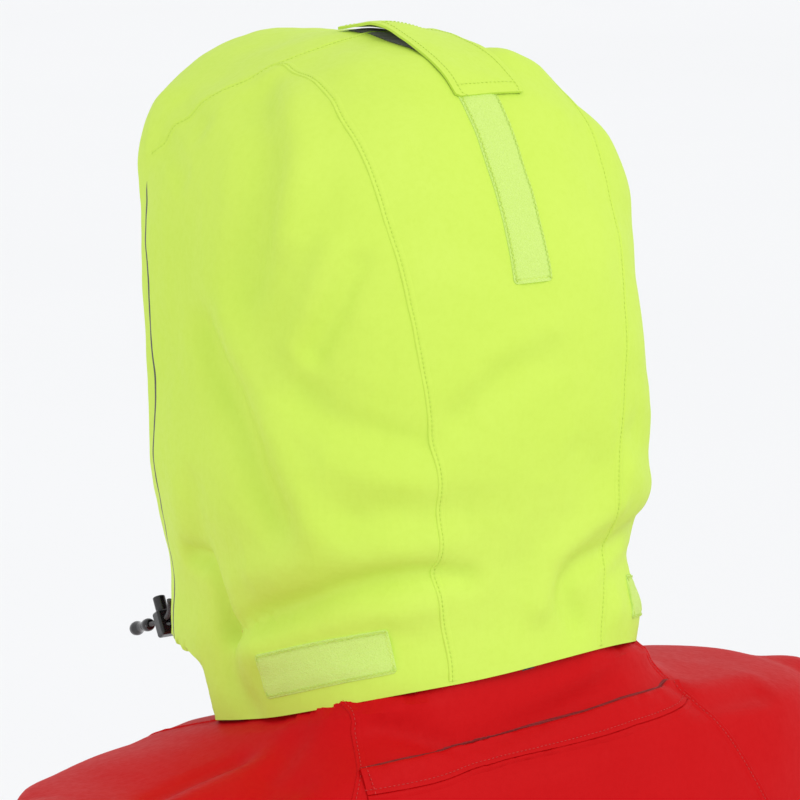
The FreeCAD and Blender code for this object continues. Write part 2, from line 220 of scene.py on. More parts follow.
def place(obj, material, body="jacket", stands_for=(), slot=None, angle=40):
    """Gives a finished piece its finish and its body; edges sharper than the angle stay crisp."""
    obj.data.materials.clear()
    obj.data.materials.append(material)
    obj.data.polygons.foreach_set("use_smooth", [True] * len(obj.data.polygons))
    if angle:
        obj.data.set_sharp_from_angle(angle=math.radians(angle))
    if body:
        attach(obj, body)
    if stands_for:
        obj.name = obj.name.split(".")[0] + "_sewn"
        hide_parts(*stands_for)
    return obj


def cut_where(obj, field, keep_negative=True):
    """Cuts a mesh along field(points) = 0 and keeps one side."""
    bm = bmesh.new()
    bm.from_mesh(obj.data)
    layer = bm.verts.layers.float_vector.new("true_place")
    values = field(coords(obj)) * MM
    for vert, value in zip(bm.verts, values):
        vert[layer] = vert.co
        vert.co.x = value
    geometry = bm.verts[:] + bm.edges[:] + bm.faces[:]
    bmesh.ops.bisect_plane(bm, geom=geometry, dist=1e-7, plane_co=(0, 0, 0), plane_no=(1, 0, 0),
                           clear_outer=keep_negative, clear_inner=not keep_negative)
    for vert in bm.verts:
        vert.co = vert[layer]
    bm.verts.layers.float_vector.remove(layer)
    bmesh.ops.remove_doubles(bm, verts=bm.verts, dist=2e-5)
    bm.to_mesh(obj.data)
    bm.free()
    obj.data.update()
    return obj


def copy_of(obj, name):
    other = linked(name, obj.data.copy())
    other.data.name = name
    return other


def thick(obj, thickness):
    """Gives a sheet its thickness, inwards from its face."""
    solid = obj.modifiers.new("thickness", "SOLIDIFY")
    solid.thickness = thickness * MM
    solid.offset = -1.0
    solid.use_rim = True
    solid.use_even_offset = False
    return finished(obj)


class Cloth:
    """A surface that trims, seams and stitches can be laid on."""

    def __init__(self, points, faces):
        self.points = np.asarray(points, float)
        self.faces = [list(map(int, f)) for f in faces]
        self.tree = BVHTree.FromPolygons((self.points * MM).tolist(), self.faces)
        self.normals = np.zeros_like(self.points)
        for corners in {len(f) for f in self.faces} & {3, 4}:
            group = np.array([f for f in self.faces if len(f) == corners])
            self.normals += corner_normals(self.points, group)
        self.normals = unit(self.normals)

    def drop(self, points):
        """The nearest places on the surface and the smooth normals there."""
        places, ways = [], []
        for p in np.asarray(points, float) * MM:
            hit, _, index, _ = self.tree.find_nearest(Vector(p))
            corners = self.faces[index]
            weight = 1 / (np.linalg.norm(self.points[corners] - np.array(hit) / MM, axis=1) + 0.05)
            ways.append(weight @ self.normals[corners])
            places.append(np.array(hit) / MM)
        return np.array(places), unit(np.array(ways))

    def lay(self, points, heights):
        """Points moved onto the surface and lifted off it."""
        place_on, way = self.drop(points)
        return place_on + way * np.asarray(heights, float)[:, None]

    def shoot(self, starts, way):
        """Where rays in one direction, or one each, first meet the surface."""
        starts = np.asarray(starts, float)
        ways = np.broadcast_to(np.asarray(way, float), starts.shape)
        hits = []
        for p, w in zip(starts, ways):
            hit = self.tree.ray_cast(Vector(p * MM), Vector(w))[0]
            hits.append(np.array(hit) / MM if hit else self.drop([p])[0][0])
        return np.array(hits)


def grid_faces(rows, columns, wrap_columns=False, wrap_rows=False):
    """Quads between neighbours in a grid of points."""
    faces = []
    for r in range(rows if wrap_rows else rows - 1):
        for c in range(columns if wrap_columns else columns - 1):
            r2, c2 = (r + 1) % rows, (c + 1) % columns
            faces.append((r * columns + c, r * columns + c2, r2 * columns + c2, r2 * columns + c))
    return faces


def cube_ball(n):
    """Even unit directions and quads: a cube of n by n faces blown up to a ball."""
    t = np.tan(np.linspace(-1, 1, n + 1) * math.pi / 4)
    a, b = np.meshgrid(t, t, indexing="ij")
    points, faces = [], []
    for axis in range(3):
        for sign in (-1, 1):
            p = np.empty((n + 1, n + 1, 3))
            p[..., axis] = sign
            p[..., (axis + 1) % 3] = a * sign
            p[..., (axis + 2) % 3] = b
            start = len(points) * (n + 1) ** 2
            points.append(p.reshape(-1, 3))
            faces += [[start + i for i in f][::-1] for f in grid_faces(n + 1, n + 1)]
    points = np.concatenate(points)
    _, first, back = np.unique(np.round(points, 6), axis=0, return_index=True, return_inverse=True)
    return unit(points[first]), back.ravel()[np.array(faces)]


def sideways(cloth, line, hint):
    """Spots on the cloth under a line, and the direction across it that goes with the hint."""
    spots, ways = cloth.drop(line)
    side = unit(np.cross(unit(np.gradient(spots, axis=0)), ways))
    turn = np.sign(side @ np.asarray(hint, float) + 1e-9)
    side = side * (1 if turn.sum() >= 0 else -1)
    return spots, side


def beside(cloth, line, offset, lift, hint):
    """A line on the cloth, offset sideways and lifted a little."""
    spots, side = sideways(cloth, line, hint)
    return cloth.lay(spots + side * offset, np.full(len(spots), lift))


STRIP_DEPTH = -0.5


def strip_on(cloth, name, line, across, heights, hint, narrow=None, ripple=0.0):
    """A closed strip laid along a line on a cloth: its cross section is heights over across."""
    spots, side = sideways(cloth, line, hint)
    across, heights = np.asarray(across, float), np.asarray(heights, float)
    narrow = np.ones(len(spots)) if narrow is None else np.asarray(narrow, float)
    reach = across[None, :, None] * narrow[:, None, None]
    top = (spots[:, None] + side[:, None] * reach).reshape(-1, 3)
    rise = np.tile(heights, len(spots)) * (1 + ripple * wave_noise(top, 9.0, 5))
    top = cloth.lay(top, rise)
    count = len(across)
    low = cloth.lay((spots[:, None] + side[:, None] * reach[:, ::-1]).reshape(-1, 3),
                    np.full(len(spots) * count, STRIP_DEPTH))
    ring = np.concatenate([top.reshape(len(line), count, 3), low.reshape(len(line), count, 3)], 1)
    columns = ring.shape[1]
    faces = grid_faces(len(line), columns, wrap_columns=True)
    verts = ring.reshape(-1, 3)
    last = (len(line) - 1) * columns
    faces.append(tuple(range(columns)))
    faces.append(tuple(last + k for k in reversed(range(columns))))
    return outward_faces(new_object(name, verts, faces))


def outward_faces(obj):
    """Merges doubles and turns every face outwards."""
    bm = bmesh.new()
    bm.from_mesh(obj.data)
    bmesh.ops.remove_doubles(bm, verts=bm.verts, dist=1e-6)
    bmesh.ops.recalc_face_normals(bm, faces=bm.faces)
    bm.to_mesh(obj.data)
    bm.free()
    return obj


# ---------------------------------------------------------------- materials
class Wire:
    """A shader socket that takes arithmetic."""

    def __init__(self, tree, socket):
        self.tree, self.socket = tree, socket

    def _math(self, operation, other):
        return self.tree.node("ShaderNodeMath", {"operation": operation}, {0: self, 1: other})

    def __add__(self, other):
        return self._math("ADD", other)

    def __mul__(self, other):
        return self._math("MULTIPLY", other)

    __radd__, __rmul__ = __add__, __mul__


class Finish:
    """A node material under construction."""

    def __init__(self, name):
        self.material = bpy.data.materials.new(name)
        self.material.use_nodes = True
        self.tree = self.material.node_tree
        self.tree.nodes.clear()
        self.place = self.node("ShaderNodeTexCoord", out="Object")

    def node(self, kind, settings=None, values=None, out=0):
        """Any node: its settings, then the values or links of its sockets."""
        node = self.tree.nodes.new(kind)
        for key, value in (settings or {}).items():
            setattr(node, key, value)
        for key, value in (values or {}).items():
            socket = node.inputs[key]
            if isinstance(value, Wire):
                self.tree.links.new(value.socket, socket)
            else:
                socket.default_value = value
        return Wire(self, node.outputs[out])

    def noise(self, scale, detail=3.0, rough=0.5, place=None):
        values = {"Vector": place or self.place, "Scale": scale, "Detail": detail, "Roughness": rough}
        return self.node("ShaderNodeTexNoise", None, values)

    def stretched(self, scale):
        return self.node("ShaderNodeMapping", None, {"Vector": self.place, "Scale": scale})

    def mix(self, factor, a, b):
        """A colour between two colours."""
        node = self.tree.nodes.new("ShaderNodeMix")
        node.data_type = "RGBA"
        for key, value in ((0, factor), (6, a), (7, b)):
            if isinstance(value, Wire):
                self.tree.links.new(value.socket, node.inputs[key])
            elif key == 0:
                node.inputs[0].default_value = value
            else:
                node.inputs[key].default_value = (*value, 1)
        return Wire(self, node.outputs[2])

    def span(self, value, low, high, to_low=0.0, to_high=1.0):
        """A value stretched softly from one range to another."""
        return self.node("ShaderNodeMapRange", {"interpolation_type": "SMOOTHSTEP"},
                         {0: value, 1: low, 2: high, 3: to_low, 4: to_high})

    def bump(self, height, distance, strength=1.0, normal=None):
        values = {"Height": height, "Distance": distance, "Strength": strength}
        if normal is not None:
            values["Normal"] = normal
        return self.node("ShaderNodeBump", None, values)

    def surface(self, colour, rough, normal=None, **fixed):
        values = {"Base Color": colour if isinstance(colour, Wire) else (*colour, 1), "Roughness": rough}
        if normal is not None:
            values["Normal"] = normal
        values.update(fixed)
        shader = self.node("ShaderNodeBsdfPrincipled", None, values)
        output = self.tree.nodes.new("ShaderNodeOutputMaterial")
        self.tree.links.new(shader.socket, output.inputs[0])
        return self.material


# ---------------------------------------------------------------- repeats along a line
def repeat_tree(name, shape):
    """Geometry Nodes: one small shape repeated along curves at a fixed spacing."""
    tree = bpy.data.node_groups.new(name, "GeometryNodeTree")
    sockets = tree.interface
    sockets.new_socket("Geometry", in_out="INPUT", socket_type="NodeSocketGeometry")
    for title, value in (("Spacing", 0.003), ("Length", 0.0022), ("Width", 0.0006), ("Depth", 0.0006)):
        sockets.new_socket(title, in_out="INPUT", socket_type="NodeSocketFloat").default_value = value
    sockets.new_socket("Finish", in_out="INPUT", socket_type="NodeSocketMaterial")
    sockets.new_socket("Geometry", in_out="OUTPUT", socket_type="NodeSocketGeometry")

    def add(kind, links=None, settings=None, values=None):
        node = tree.nodes.new(kind)
        for key, value in (settings or {}).items():
            setattr(node, key, value)
        for key, value in (values or {}).items():
            node.inputs[key].default_value = value
        for key, socket in (links or {}).items():
            tree.links.new(socket, node.inputs[key])
        return node

    given = add("NodeGroupInput").outputs
    along = add("GeometryNodeCurveToPoints", {"Curve": given["Geometry"], "Length": given["Spacing"]},
                {"mode": "LENGTH"}).outputs
    size = add("ShaderNodeCombineXYZ", {"X": given["Width"], "Y": given["Depth"], "Z": given["Length"]})
    links = {"Points": along["Points"]}
    if shape == "stitch":
        piece = add("GeometryNodeMeshUVSphere", None, None, {"Segments": 6, "Rings": 4, "Radius": 0.5})
        turned = add("FunctionNodeAlignRotationToVector", {"Vector": along["Tangent"]}, {"axis": "Z"})
        links["Rotation"] = turned.outputs[0]
    else:
        flat = add("GeometryNodeMeshCylinder", None, None, {"Vertices": 8, "Radius": 0.5, "Depth": 1.0})
        piece = add("GeometryNodeTransform", {"Geometry": flat.outputs["Mesh"]}, None,
                    {"Rotation": (math.pi / 2, 0, 0)})
    sized = add("GeometryNodeTransform", {"Geometry": piece.outputs[0], "Scale": size.outputs[0]})
    links["Instance"] = sized.outputs[0]
    placed = add("GeometryNodeInstanceOnPoints", links).outputs[0]
    real = add("GeometryNodeRealizeInstances", {"Geometry": placed}).outputs[0]
    finish = add("GeometryNodeSetMaterial", {"Geometry": real, "Material": given["Finish"]}).outputs[0]
    add("NodeGroupOutput", {"Geometry": finish})
    return tree


stitch_nodes = repeat_tree("stitches", "stitch")
tooth_nodes = repeat_tree("zip_teeth", "tooth")


def curve_of(name, lines):
    data = bpy.data.curves.new(name, "CURVE")
    data.dimensions = "3D"
    for line in lines:
        spline = data.splines.new("POLY")
        spline.points.add(len(line) - 1)
        flat = np.concatenate([np.asarray(line, float) * MM, np.ones((len(line), 1))], 1)
        spline.points.foreach_set("co", flat.ravel())
    return linked(name, data)


def repeated(name, tree, lines, finish, spacing, length, width, depth):
    """A plain mesh of small shapes along lines."""
    curve = curve_of(name + "_line", lines)
    nodes = curve.modifiers.new("repeat", "NODES")
    nodes.node_group = tree
    ids = {item.name: item.identifier for item in tree.interface.items_tree if item.in_out == "INPUT"}
    for title, value in (("Spacing", spacing), ("Length", length), ("Width", width), ("Depth", depth)):
        nodes[ids[title]] = value * MM
    nodes[ids["Finish"]] = finish
    graph = bpy.context.evaluated_depsgraph_get()
    mesh = bpy.data.meshes.new_from_object(curve.evaluated_get(graph))
    bpy.data.objects.remove(curve)
    mesh.name = name
    return linked(name, mesh)


def stitches(name, lines, finish, slot, body="jacket", spacing=2.6, length=1.8, thread=0.5):
    """Rows of sewing thread along lines."""
    obj = repeated(name, stitch_nodes, lines, finish, spacing, length, thread, thread)
    return place(obj, finish, body, slot=slot, angle=0)


# ---------------------------------------------------------------- materials
def coated_cloth(name, colour, deep, lift, gloss):
    """Waterproof coated cloth: very fine weave, small creases, and slight clouding."""
    finish = Finish(name)
    broad = finish.span(finish.noise(9.0, 3.0, 0.55), 0.3, 0.7)
    grain = finish.noise(260.0, 4.0, 0.65)
    tone = finish.mix(broad * 0.6, colour, lift)
    tone = finish.mix(finish.span(grain, 0.35, 0.8) * 0.12, tone, deep)
    threads = []
    for direction in ("X", "Y", "Z"):
        threads.append(finish.node("ShaderNodeTexWave", {"bands_direction": direction},
                                   {"Vector": finish.place, "Scale": 95.0, "Distortion": 1.2, "Detail": 1.0,
                                    "Detail Scale": 2.0}, out=1))
    height = (threads[0] + threads[1] + threads[2]) * 0.25 + grain * 0.7
    normal = finish.bump(height, 0.00010, 0.5)
    creases = finish.noise(42.0, 4.0, 0.55, finish.stretched((1.0, 1.0, 0.55)))
    normal = finish.bump(creases, 0.0022, 0.28, normal)
    roughness = finish.span(grain, 0.25, 0.8, 0.50, 0.61)
    return finish.surface(tone, roughness, normal, **{"Specular IOR Level": gloss})


def tufted(name, colour, pale, scale, depth):
    """Hook-and-loop tape or fleece: short tufts."""
    finish = Finish(name)
    fuzz = finish.noise(scale * 1.6, 3.0, 0.7)
    tufts = finish.node("ShaderNodeTexVoronoi", {"feature": "F1"}, {"Vector": finish.place, "Scale": scale})
    tone = finish.mix(finish.span(fuzz, 0.3, 0.7), colour, pale)
    normal = finish.bump(tufts * 0.6 + fuzz, depth, 0.8)
    return finish.surface(tone, finish.span(fuzz, 0.2, 0.8, 0.78, 0.95), normal,
                          **{"Sheen Weight": 0.05, "Sheen Roughness": 0.6, "Specular IOR Level": 0.1})


def moulded(name, colour, pale, rough, metallic=0.0, scale=700.0, depth=0.00005):
    """Moulded plastic or die-cast metal: fine grain and worn patches."""
    finish = Finish(name)
    grain = finish.noise(scale, 3.0, 0.6)
    wear = finish.span(finish.noise(160.0, 4.0, 0.6), 0.45, 0.75)
    tone = finish.mix(wear * 0.7, colour, pale)
    normal = finish.bump(grain, depth, 0.5)
    return finish.surface(tone, finish.span(grain + wear * 0.4, 0.3, 1.0, rough - 0.08, rough + 0.12), normal,
                          **{"Metallic": metallic})


def ribbed(name, colour, pale, scale, rough, depth, direction="Z", sheen=0.3):
    """Woven tape or braid: close ribs with a little noise."""
    finish = Finish(name)
    ribs = finish.node("ShaderNodeTexWave", {"bands_direction": direction},
                       {"Vector": finish.place, "Scale": scale, "Distortion": 0.8, "Detail": 1.0}, out=1)
    cross = finish.node("ShaderNodeTexWave", {"bands_direction": "DIAGONAL"},
                        {"Vector": finish.place, "Scale": scale * 0.7, "Distortion": 0.5}, out=1)
    tone = finish.mix(ribs * 0.6 + cross * 0.3, colour, pale)
    normal = finish.bump(ribs + cross * 0.5, depth, 0.7)
    return finish.surface(tone, finish.span(ribs, 0.0, 1.0, rough + 0.08, rough - 0.05), normal,
                          **{"Sheen Weight": sheen, "Sheen Roughness": 0.5})


def honeycomb(name):
    """Grey reflective tape with a fine honeycomb and small cracks."""
    finish = Finish(name)
    cells = finish.node("ShaderNodeTexVoronoi", {"feature": "DISTANCE_TO_EDGE"},
                        {"Vector": finish.place, "Scale": 420.0})
    lines = finish.span(cells, 0.0, 0.12)
    cloud = finish.noise(30.0, 3.0, 0.5)
    tone = finish.mix(lines, (0.36, 0.37, 0.39), finish.mix(cloud, (0.60, 0.61, 0.63), (0.72, 0.73, 0.75)))
    normal = finish.bump(lines, 0.00012, 0.5)
    return finish.surface(tone, finish.span(cloud, 0.3, 0.7, 0.28, 0.42), normal, **{"Metallic": 0.55})


YELLOW = (0.565, 0.765, 0.096)
RED = (0.505, 0.0030, 0.0045)
hood_cloth = coated_cloth("hood_cloth", YELLOW, (0.455, 0.635, 0.048), (0.60, 0.79, 0.118), 0.12)
red_cloth = coated_cloth("red_cloth", RED, (0.37, 0.0018, 0.0028), (0.54, 0.0042, 0.0060), 0.07)
yellow_thread = ribbed("yellow_thread", (0.50, 0.68, 0.06), (0.62, 0.80, 0.12), 400, 0.6, 0.0001, sheen=0.0)
red_thread = ribbed("red_thread", (0.46, 0.012, 0.012), (0.62, 0.028, 0.024), 400, 0.6, 0.0001, sheen=0.0)
# dark red cloth that serves only as painted shade inside the back welt's opening
red_painted_shade = ribbed("red_painted_shade", (0.16, 0.002, 0.003), (0.24, 0.004, 0.005), 300, 0.8, 0.0001, sheen=0.0)
grey_thread = ribbed("grey_thread", (0.07, 0.07, 0.08), (0.14, 0.14, 0.15), 400, 0.6, 0.0001)
loop_tape = tufted("loop_tape", (0.55, 0.765, 0.145), (0.62, 0.81, 0.22), 1100, 0.0004)
fleece_cloth = tufted("fleece", (0.028, 0.030, 0.036), (0.065, 0.068, 0.078), 420, 0.0016)
lining_cloth = ribbed("lining_cloth", (0.030, 0.032, 0.038), (0.060, 0.063, 0.072), 260, 0.62, 0.00012, "X")
# dark ribbed tape: the hook tape under the crown tab, and the painted shade of the gap at the hood's edge
dark_edge = ribbed("dark_edge", (0.012, 0.014, 0.010), (0.035, 0.040, 0.022), 300, 0.75, 0.0001)
silver_tape = honeycomb("silver_tape")
zip_plastic = moulded("zip_plastic", (0.018, 0.018, 0.020), (0.050, 0.050, 0.055), 0.42)
zip_cloth = ribbed("zip_cloth", (0.016, 0.016, 0.019), (0.045, 0.045, 0.050), 330, 0.7, 0.00015)
zip_metal = moulded("zip_metal", (0.16, 0.16, 0.17), (0.42, 0.42, 0.43), 0.36, 0.85, 500, 0.00003)
lock_plastic = moulded("lock_plastic", (0.010, 0.010, 0.011), (0.030, 0.030, 0.033), 0.30)
end_plastic = moulded("end_plastic", (0.008, 0.008, 0.009), (0.022, 0.022, 0.024), 0.16)
cord_braid = ribbed("cord_braid", (0.008, 0.008, 0.010), (0.050, 0.050, 0.056), 380, 0.7, 0.00030, "DIAGONAL",
                    0.2)


# ---------------------------------------------------------------- hood form
HOOD_ROWS = np.array([(-75, 121, 92, -135), (-10, 120, 92, -165), (20, 117, 89, -172), (45, 121, 89, -182),
                      (80, 126, 93, -194), (122, 123, 96, -204), (150, 120, 95, -210), (200, 119.5, 88, -220),
                      (240, 116.5, 73, -221), (265, 110, 61, -215), (285, 99, 50, -206), (303, 80, 36, -194),
                      (317, 57, 15, -176), (326, 32, -13, -140), (331, 8, -42, -66)], float)
hood_half, hood_back, hood_front = (Smooth(HOOD_ROWS[:, 0], HOOD_ROWS[:, k]) for k in (1, 2, 3))
HOOD_TOP = 331.0
NECK_TILT, NECK_BACK = 0.33, 92.0
hood_edge = Smooth([-80, 0, 60, 122, 162, 222, 262, 292, 345],
                   [-93, -99, -101, -107, -116, -122, -131, -148, -148])
seam_half = Smooth([-80, -3, 40, 93, 134, 180, 217, 250, 284, 300, 312, 340],
                   [52, 52, 58, 61, 65, 70, 74, 76, 76.5, 72, 64, 58])


def neck_plane(p):
    """Height above the leaning plane of the neck seam."""
    return p[:, 2] - NECK_TILT * (p[:, 1] - NECK_BACK)


def neck_sag(p):
    """How far the neck seam hangs below its plane: most at the wearer's left."""
    return (2.6 + 5.2 * step(-70, 50, p[:, 0])) * step(-95, 25, p[:, 1])


def hood_hem(p):
    """Height above the hood's sewn lower edge."""
    return neck_plane(p) + neck_sag(p) + 1.0


def hood_level(p):
    """Negative inside the hood's plain form."""
    z = np.minimum(p[:, 2], HOOD_TOP)
    half, back, front = hood_half(z), hood_back(z), hood_front(z)
    middle = -30 - 20 * np.clip((z - 200) / 130, 0, 1)
    depth = np.where(p[:, 1] > middle, back - middle, middle - front)
    level = (np.abs(p[:, 0] / half) ** 2.5 + np.abs((p[:, 1] - middle) / depth) ** 2.5) ** 0.4 - 1
    return np.where(p[:, 2] > HOOD_TOP, 1.0, level)


def cast(level, centre, ways, reach):
    """Where rays from a centre leave a form."""
    low, high = np.zeros(len(ways)), np.full(len(ways), reach)
    for _ in range(34):
        half = 0.5 * (low + high)
        inside = level(centre + ways * half[:, None]) < 0
        low = np.where(inside, half, low)
        high = np.where(inside, high, half)
    return centre + ways * low[:, None]


HOOD_FOLDS = [
    # hollow down the left side panel, and the soft corner behind it
    (-6.0, 16, [(85, -43, 299), (102, -20, 278), (110, -9, 259), (115, -6, 233), (118, -8, 201)]),
    (4.2, 13, [(74, -50, 309), (88, -12, 294), (98, 12, 271), (105, 18, 254), (111, 18, 230)]),
    (-3.0, 9, [(98, -118, 290), (104, -96, 282), (106, -76, 276)]),
    (-2.2, 8, [(108, -120, 268), (112, -96, 258), (114, -80, 248)]),
    # long slanting hollow lower on the side panel
    (-6.0, 13, [(119, -51, 167), (120, -32, 146), (122, -11, 123), (123, 8, 96), (121, 20, 77)]),
    (3.8, 13, [(121, -24, 178), (122, -4, 152), (121, 18, 124), (118, 34, 96), (115, 44, 76)]),
    (-3.4, 8, [(90, 55, 214), (99, 50, 193), (107, 40, 168)]),
    (2.4, 9, [(98, 44, 222), (106, 38, 196), (112, 28, 170)]),
    (-3.0, 12, [(126, -53, 80), (124, -52, 63), (121, -52, 48)]),
    # fold that runs down from the edge and turns along the neck
    (-5.0, 6.5, [(118, -67, 40), (119, -50, 39), (118, -41, 31), (117, -35, 15), (119, -31, 4)]),
    (-3.2, 9, [(119, -32, 6), (120, -29, -8), (120, -22, -22), (119, -6, -32)]),
    (3.0, 13, [(118, -20, 30), (117, -14, 12), (119, -12, 0)]),
    # crease that rises to the left seam above the patch, and the cloth bulging over it
    (-4.6, 7, [(118, -24, 4), (114, 11, 22), (106, 39, 34), (93, 59, 44), (63, 80, 50), (40, 88, 46)]),
    (3.4, 13, [(117, 0, 44), (106, 38, 56), (86, 64, 64), (62, 80, 70)]),
    (2.6, 9, [(117, 2, 0), (106, 36, 17), (84, 67, 28), (62, 79, 32)]),
    # hollow and creases at the lower right
    (-4.5, 8, [(-96, 50, 52), (-84, 66, 52), (-56, 82, 46), (-34, 87, 43), (-24, 88, 31), (-32, 87, 12)]),
    (4.0, 10, [(-4, 91, 26), (-10, 91, 46), (-30, 89, 61), (-58, 82, 72)]),
    (6.0, 15, [(-66, 80, 90), (-86, 64, 74), (-104, 40, 70)]),
    (-2.6, 7, [(-60, 80, 30), (-86, 63, 36), (-100, 44, 34)]),
    (4.5, 13, [(-66, 76, 12), (-92, 56, 6), (-112, 20, -4)]),
    (-3.4, 11, [(48, 90, 134), (33, 93, 146), (16, 94, 156), (-6, 94, 160)]),
    (2.0, 12, [(40, 92, 156), (20, 94, 170), (-6, 93, 176)]),
    (-3.2, 10, [(111, 34, 144), (102, 53, 132), (90, 68, 127), (70, 83, 121)]),
    (-2.8, 12, [(96, 63, 81), (81, 75, 85), (65, 83, 80), (44, 89, 82)]),
    (2.2, 12, [(104, 50, 110), (87, 71, 104), (64, 84, 102)]),
    (-2.4, 12, [(-30, 92, 110), (-52, 86, 96), (-72, 76, 110)]),
    (3.0, 22, [(-88, 66, 150), (-96, 58, 112)]),
    # corners of the crown
    (5.0, 20, [(-90, 34, 262), (-100, 30, 236)]),
    (6.5, 15, [(-46, 4, 312), (-60, 2, 306)]),
    (5.0, 18, [(98, -148, 288), (112, -140, 262)]),
    # the same sort of creases on the right side, where it wraps the neck
    (-3.0, 9, [(-118, -60, 60), (-121, -30, 42), (-118, -6, 30)]),
    (3.0, 12, [(-122, -40, 90), (-121, 0, 80), (-112, 30, 84)]),
    (-4.0, 14, [(-90, -60, 300), (-108, -36, 262), (-116, -20, 215)]),
    (-4.5, 12, [(-120, -50, 170), (-121, -26, 140), (-122, -4, 110)]),
]


def tucked_chin(points):
    """Below the cheek edge the cloth is drawn in towards the neck."""
    low = np.clip((-22 - points[:, 2]) / 30, 0, 1)
    share = np.clip((-52 + 16 * low - points[:, 1]) / 26, 0, 1.4)
    pull = (13 + 10 * low) * share ** 1.2 * (1 - step(-21.5, -18.5, points[:, 2]))
    return np.sign(points[:, 0]) * pull


def hood_surface():
    """The hood's outer face: an even ball of points cast onto its form, then folded."""
    ways, faces = cube_ball(100)
    points = cast(hood_level, np.array([0.0, -45.0, 130.0]), ways, 520.0)
    normals = corner_normals(points, faces)
    swell = folded(points, HOOD_FOLDS)
    swell[points[:, 0] > 40] *= 1.2
    for height, size, seed in ((0.9, 95, 3), (0.5, 38, 4), (0.16, 15, 5)):
        swell += height * wave_noise(points, size, seed)
    swell -= 2.0 * step(240, 300, points[:, 2])
    points = points + normals * swell[:, None]
    tab_dip = 3.6 * np.exp(-((points[:, 0] + 12) / 34) ** 2 - ((points[:, 1] + 30) / 48) ** 2)
    visor_dip = 4.0 + 3.5 * np.exp(-((points[:, 1] + 108) / 26) ** 2)
    for dip in (tab_dip, visor_dip):
        points[:, 2] -= dip * step(270, 318, points[:, 2])
    points[:, 0] -= tucked_chin(points)
    return points, faces


hood_points, hood_faces = hood_surface()
hood_base = new_object("hood_base", hood_points, hood_faces)
hood = Cloth(hood_points, hood_faces)


def inward(obj_name, depth):
    """The whole hood form again, a depth inside its outer face."""
    normals = corner_normals(hood_points, hood_faces)
    return new_object(obj_name, hood_points - normals * depth, hood_faces)


def edge_wave(p):
    """The sewn front edge isn't quite even."""
    return 1.1 * np.sin(p[:, 2] / 9.0) + 0.9 * np.sin(p[:, 2] / 23.0 + 1.0) + 0.6 * np.sin(p[:, 0] / 14.0)


def below_chin(p):
    """Positive where the hood's front corners are cut away, in front of the chin."""
    return np.maximum(p[:, 1] + 74, p[:, 2] + 19)


def trim_hood(obj, edge_shift):
    """Keeps what lies above the neck seam and behind the hood's edge, which a function shifts."""
    cut_where(obj, hood_hem, keep_negative=False)
    cut_where(obj, lambda p: hood_edge(p[:, 2]) + edge_shift(p) - p[:, 1])
    return cut_where(obj, below_chin, keep_negative=False)


trim_hood(hood_base, edge_wave)


def hood_panel(name, fields):
    """One sewn panel: the part of the hood where every field is negative."""
    panel = copy_of(hood_base, name)
    for field in fields:
        cut_where(panel, field)
    thick(panel, 1.0)
    return place(panel, hood_cloth, stands_for=[name], slot="hood_yellow")


visor_back = Smooth([0, 40, 61, 80, 95, 108, 114, 140], [-50, -52, -58, -74, -98, -130, -150, -175])


def visor_side(p):
    """Negative in the visor panel, in front of its curved seam."""
    return p[:, 1] - visor_back(np.abs(p[:, 0]))


def seam_left(p):
    return seam_half(p[:, 2]) - p[:, 0]


def seam_right(p):
    return p[:, 0] + seam_half(p[:, 2])


hood_panel("hood_visor", [visor_side])
hood_panel("hood_center", [lambda p: -visor_side(p), lambda p: -seam_left(p), lambda p: -seam_right(p)])
hood_panel("hood_left", [lambda p: -visor_side(p), seam_left])
hood_panel("hood_right", [lambda p: -visor_side(p), seam_right])
bpy.data.objects.remove(hood_base)

# the band that stands in front of the edge, a dark strip that paints the shadowed gap at the shell's edge,
# and the lining behind it
BAND_AHEAD, BAND_BEHIND = 14.5, 22.0
GAP_SHADE_AHEAD, GAP_SHADE_BEHIND = 3.6, 6.0


def gap_shade_edge(p):
    """The dark strip of painted gap shade shows down the cheeks and tucks away over the crown."""
    return edge_wave(p) - GAP_SHADE_AHEAD * step(246, 232, p[:, 2]) + 1


facing = trim_hood(inward("hood_facing", 1.0), lambda p: -BAND_AHEAD)
cut_where(facing, lambda p: p[:, 1] - hood_edge(p[:, 2]) - BAND_BEHIND)
place(thick(facing, 1.3), hood_cloth, stands_for=["hood_facing"], slot="hood_yellow")
# a thin dark strip just inside the shell's edge: painted shade for the gap between the shell and the facing
edge_gap_shade = trim_hood(inward("hood_edge_gap_shade", 0.15), gap_shade_edge)
cut_where(edge_gap_shade, lambda p: p[:, 1] - hood_edge(p[:, 2]) - GAP_SHADE_BEHIND)
place(thick(edge_gap_shade, 1.1), dark_edge, slot="lining_dark")
hood_inside = trim_hood(inward("hood_inside", 3.2), lambda p: 10.0)
place(thick(hood_inside, 0.8), lining_cloth, slot="lining_dark")


# ---------------------------------------------------------------- hood seams
ABOVE_HOOD = 400.0


def seam_path(sign):
    """The seam between centre and side panel, from the visor seam over the crown to the neck."""
    top = []
    for y in np.linspace(-150, -30, 40):
        guess = np.array([[sign * seam_half(318.0), y, ABOVE_HOOD]])
        for _ in range(6):
            hit = hood.shoot(guess, (0, 0, -1))[0]
            guess[0, 0] = sign * float(seam_half(hit[2]))
        if visor_side(hit[None])[0] > 0.5:
            top.append(hit)
    back = []
    for z in np.linspace(top[-1][2], -19, 154)[1:]:
        hit = hood.shoot([(sign * float(seam_half(z)), 220.0, z)], (0, -1, 0))[0]
        back.append(hit)
    path = np.array(top + back)
    keep = hood_hem(path) > 0.6
    return smooth_line(path[keep], 150)


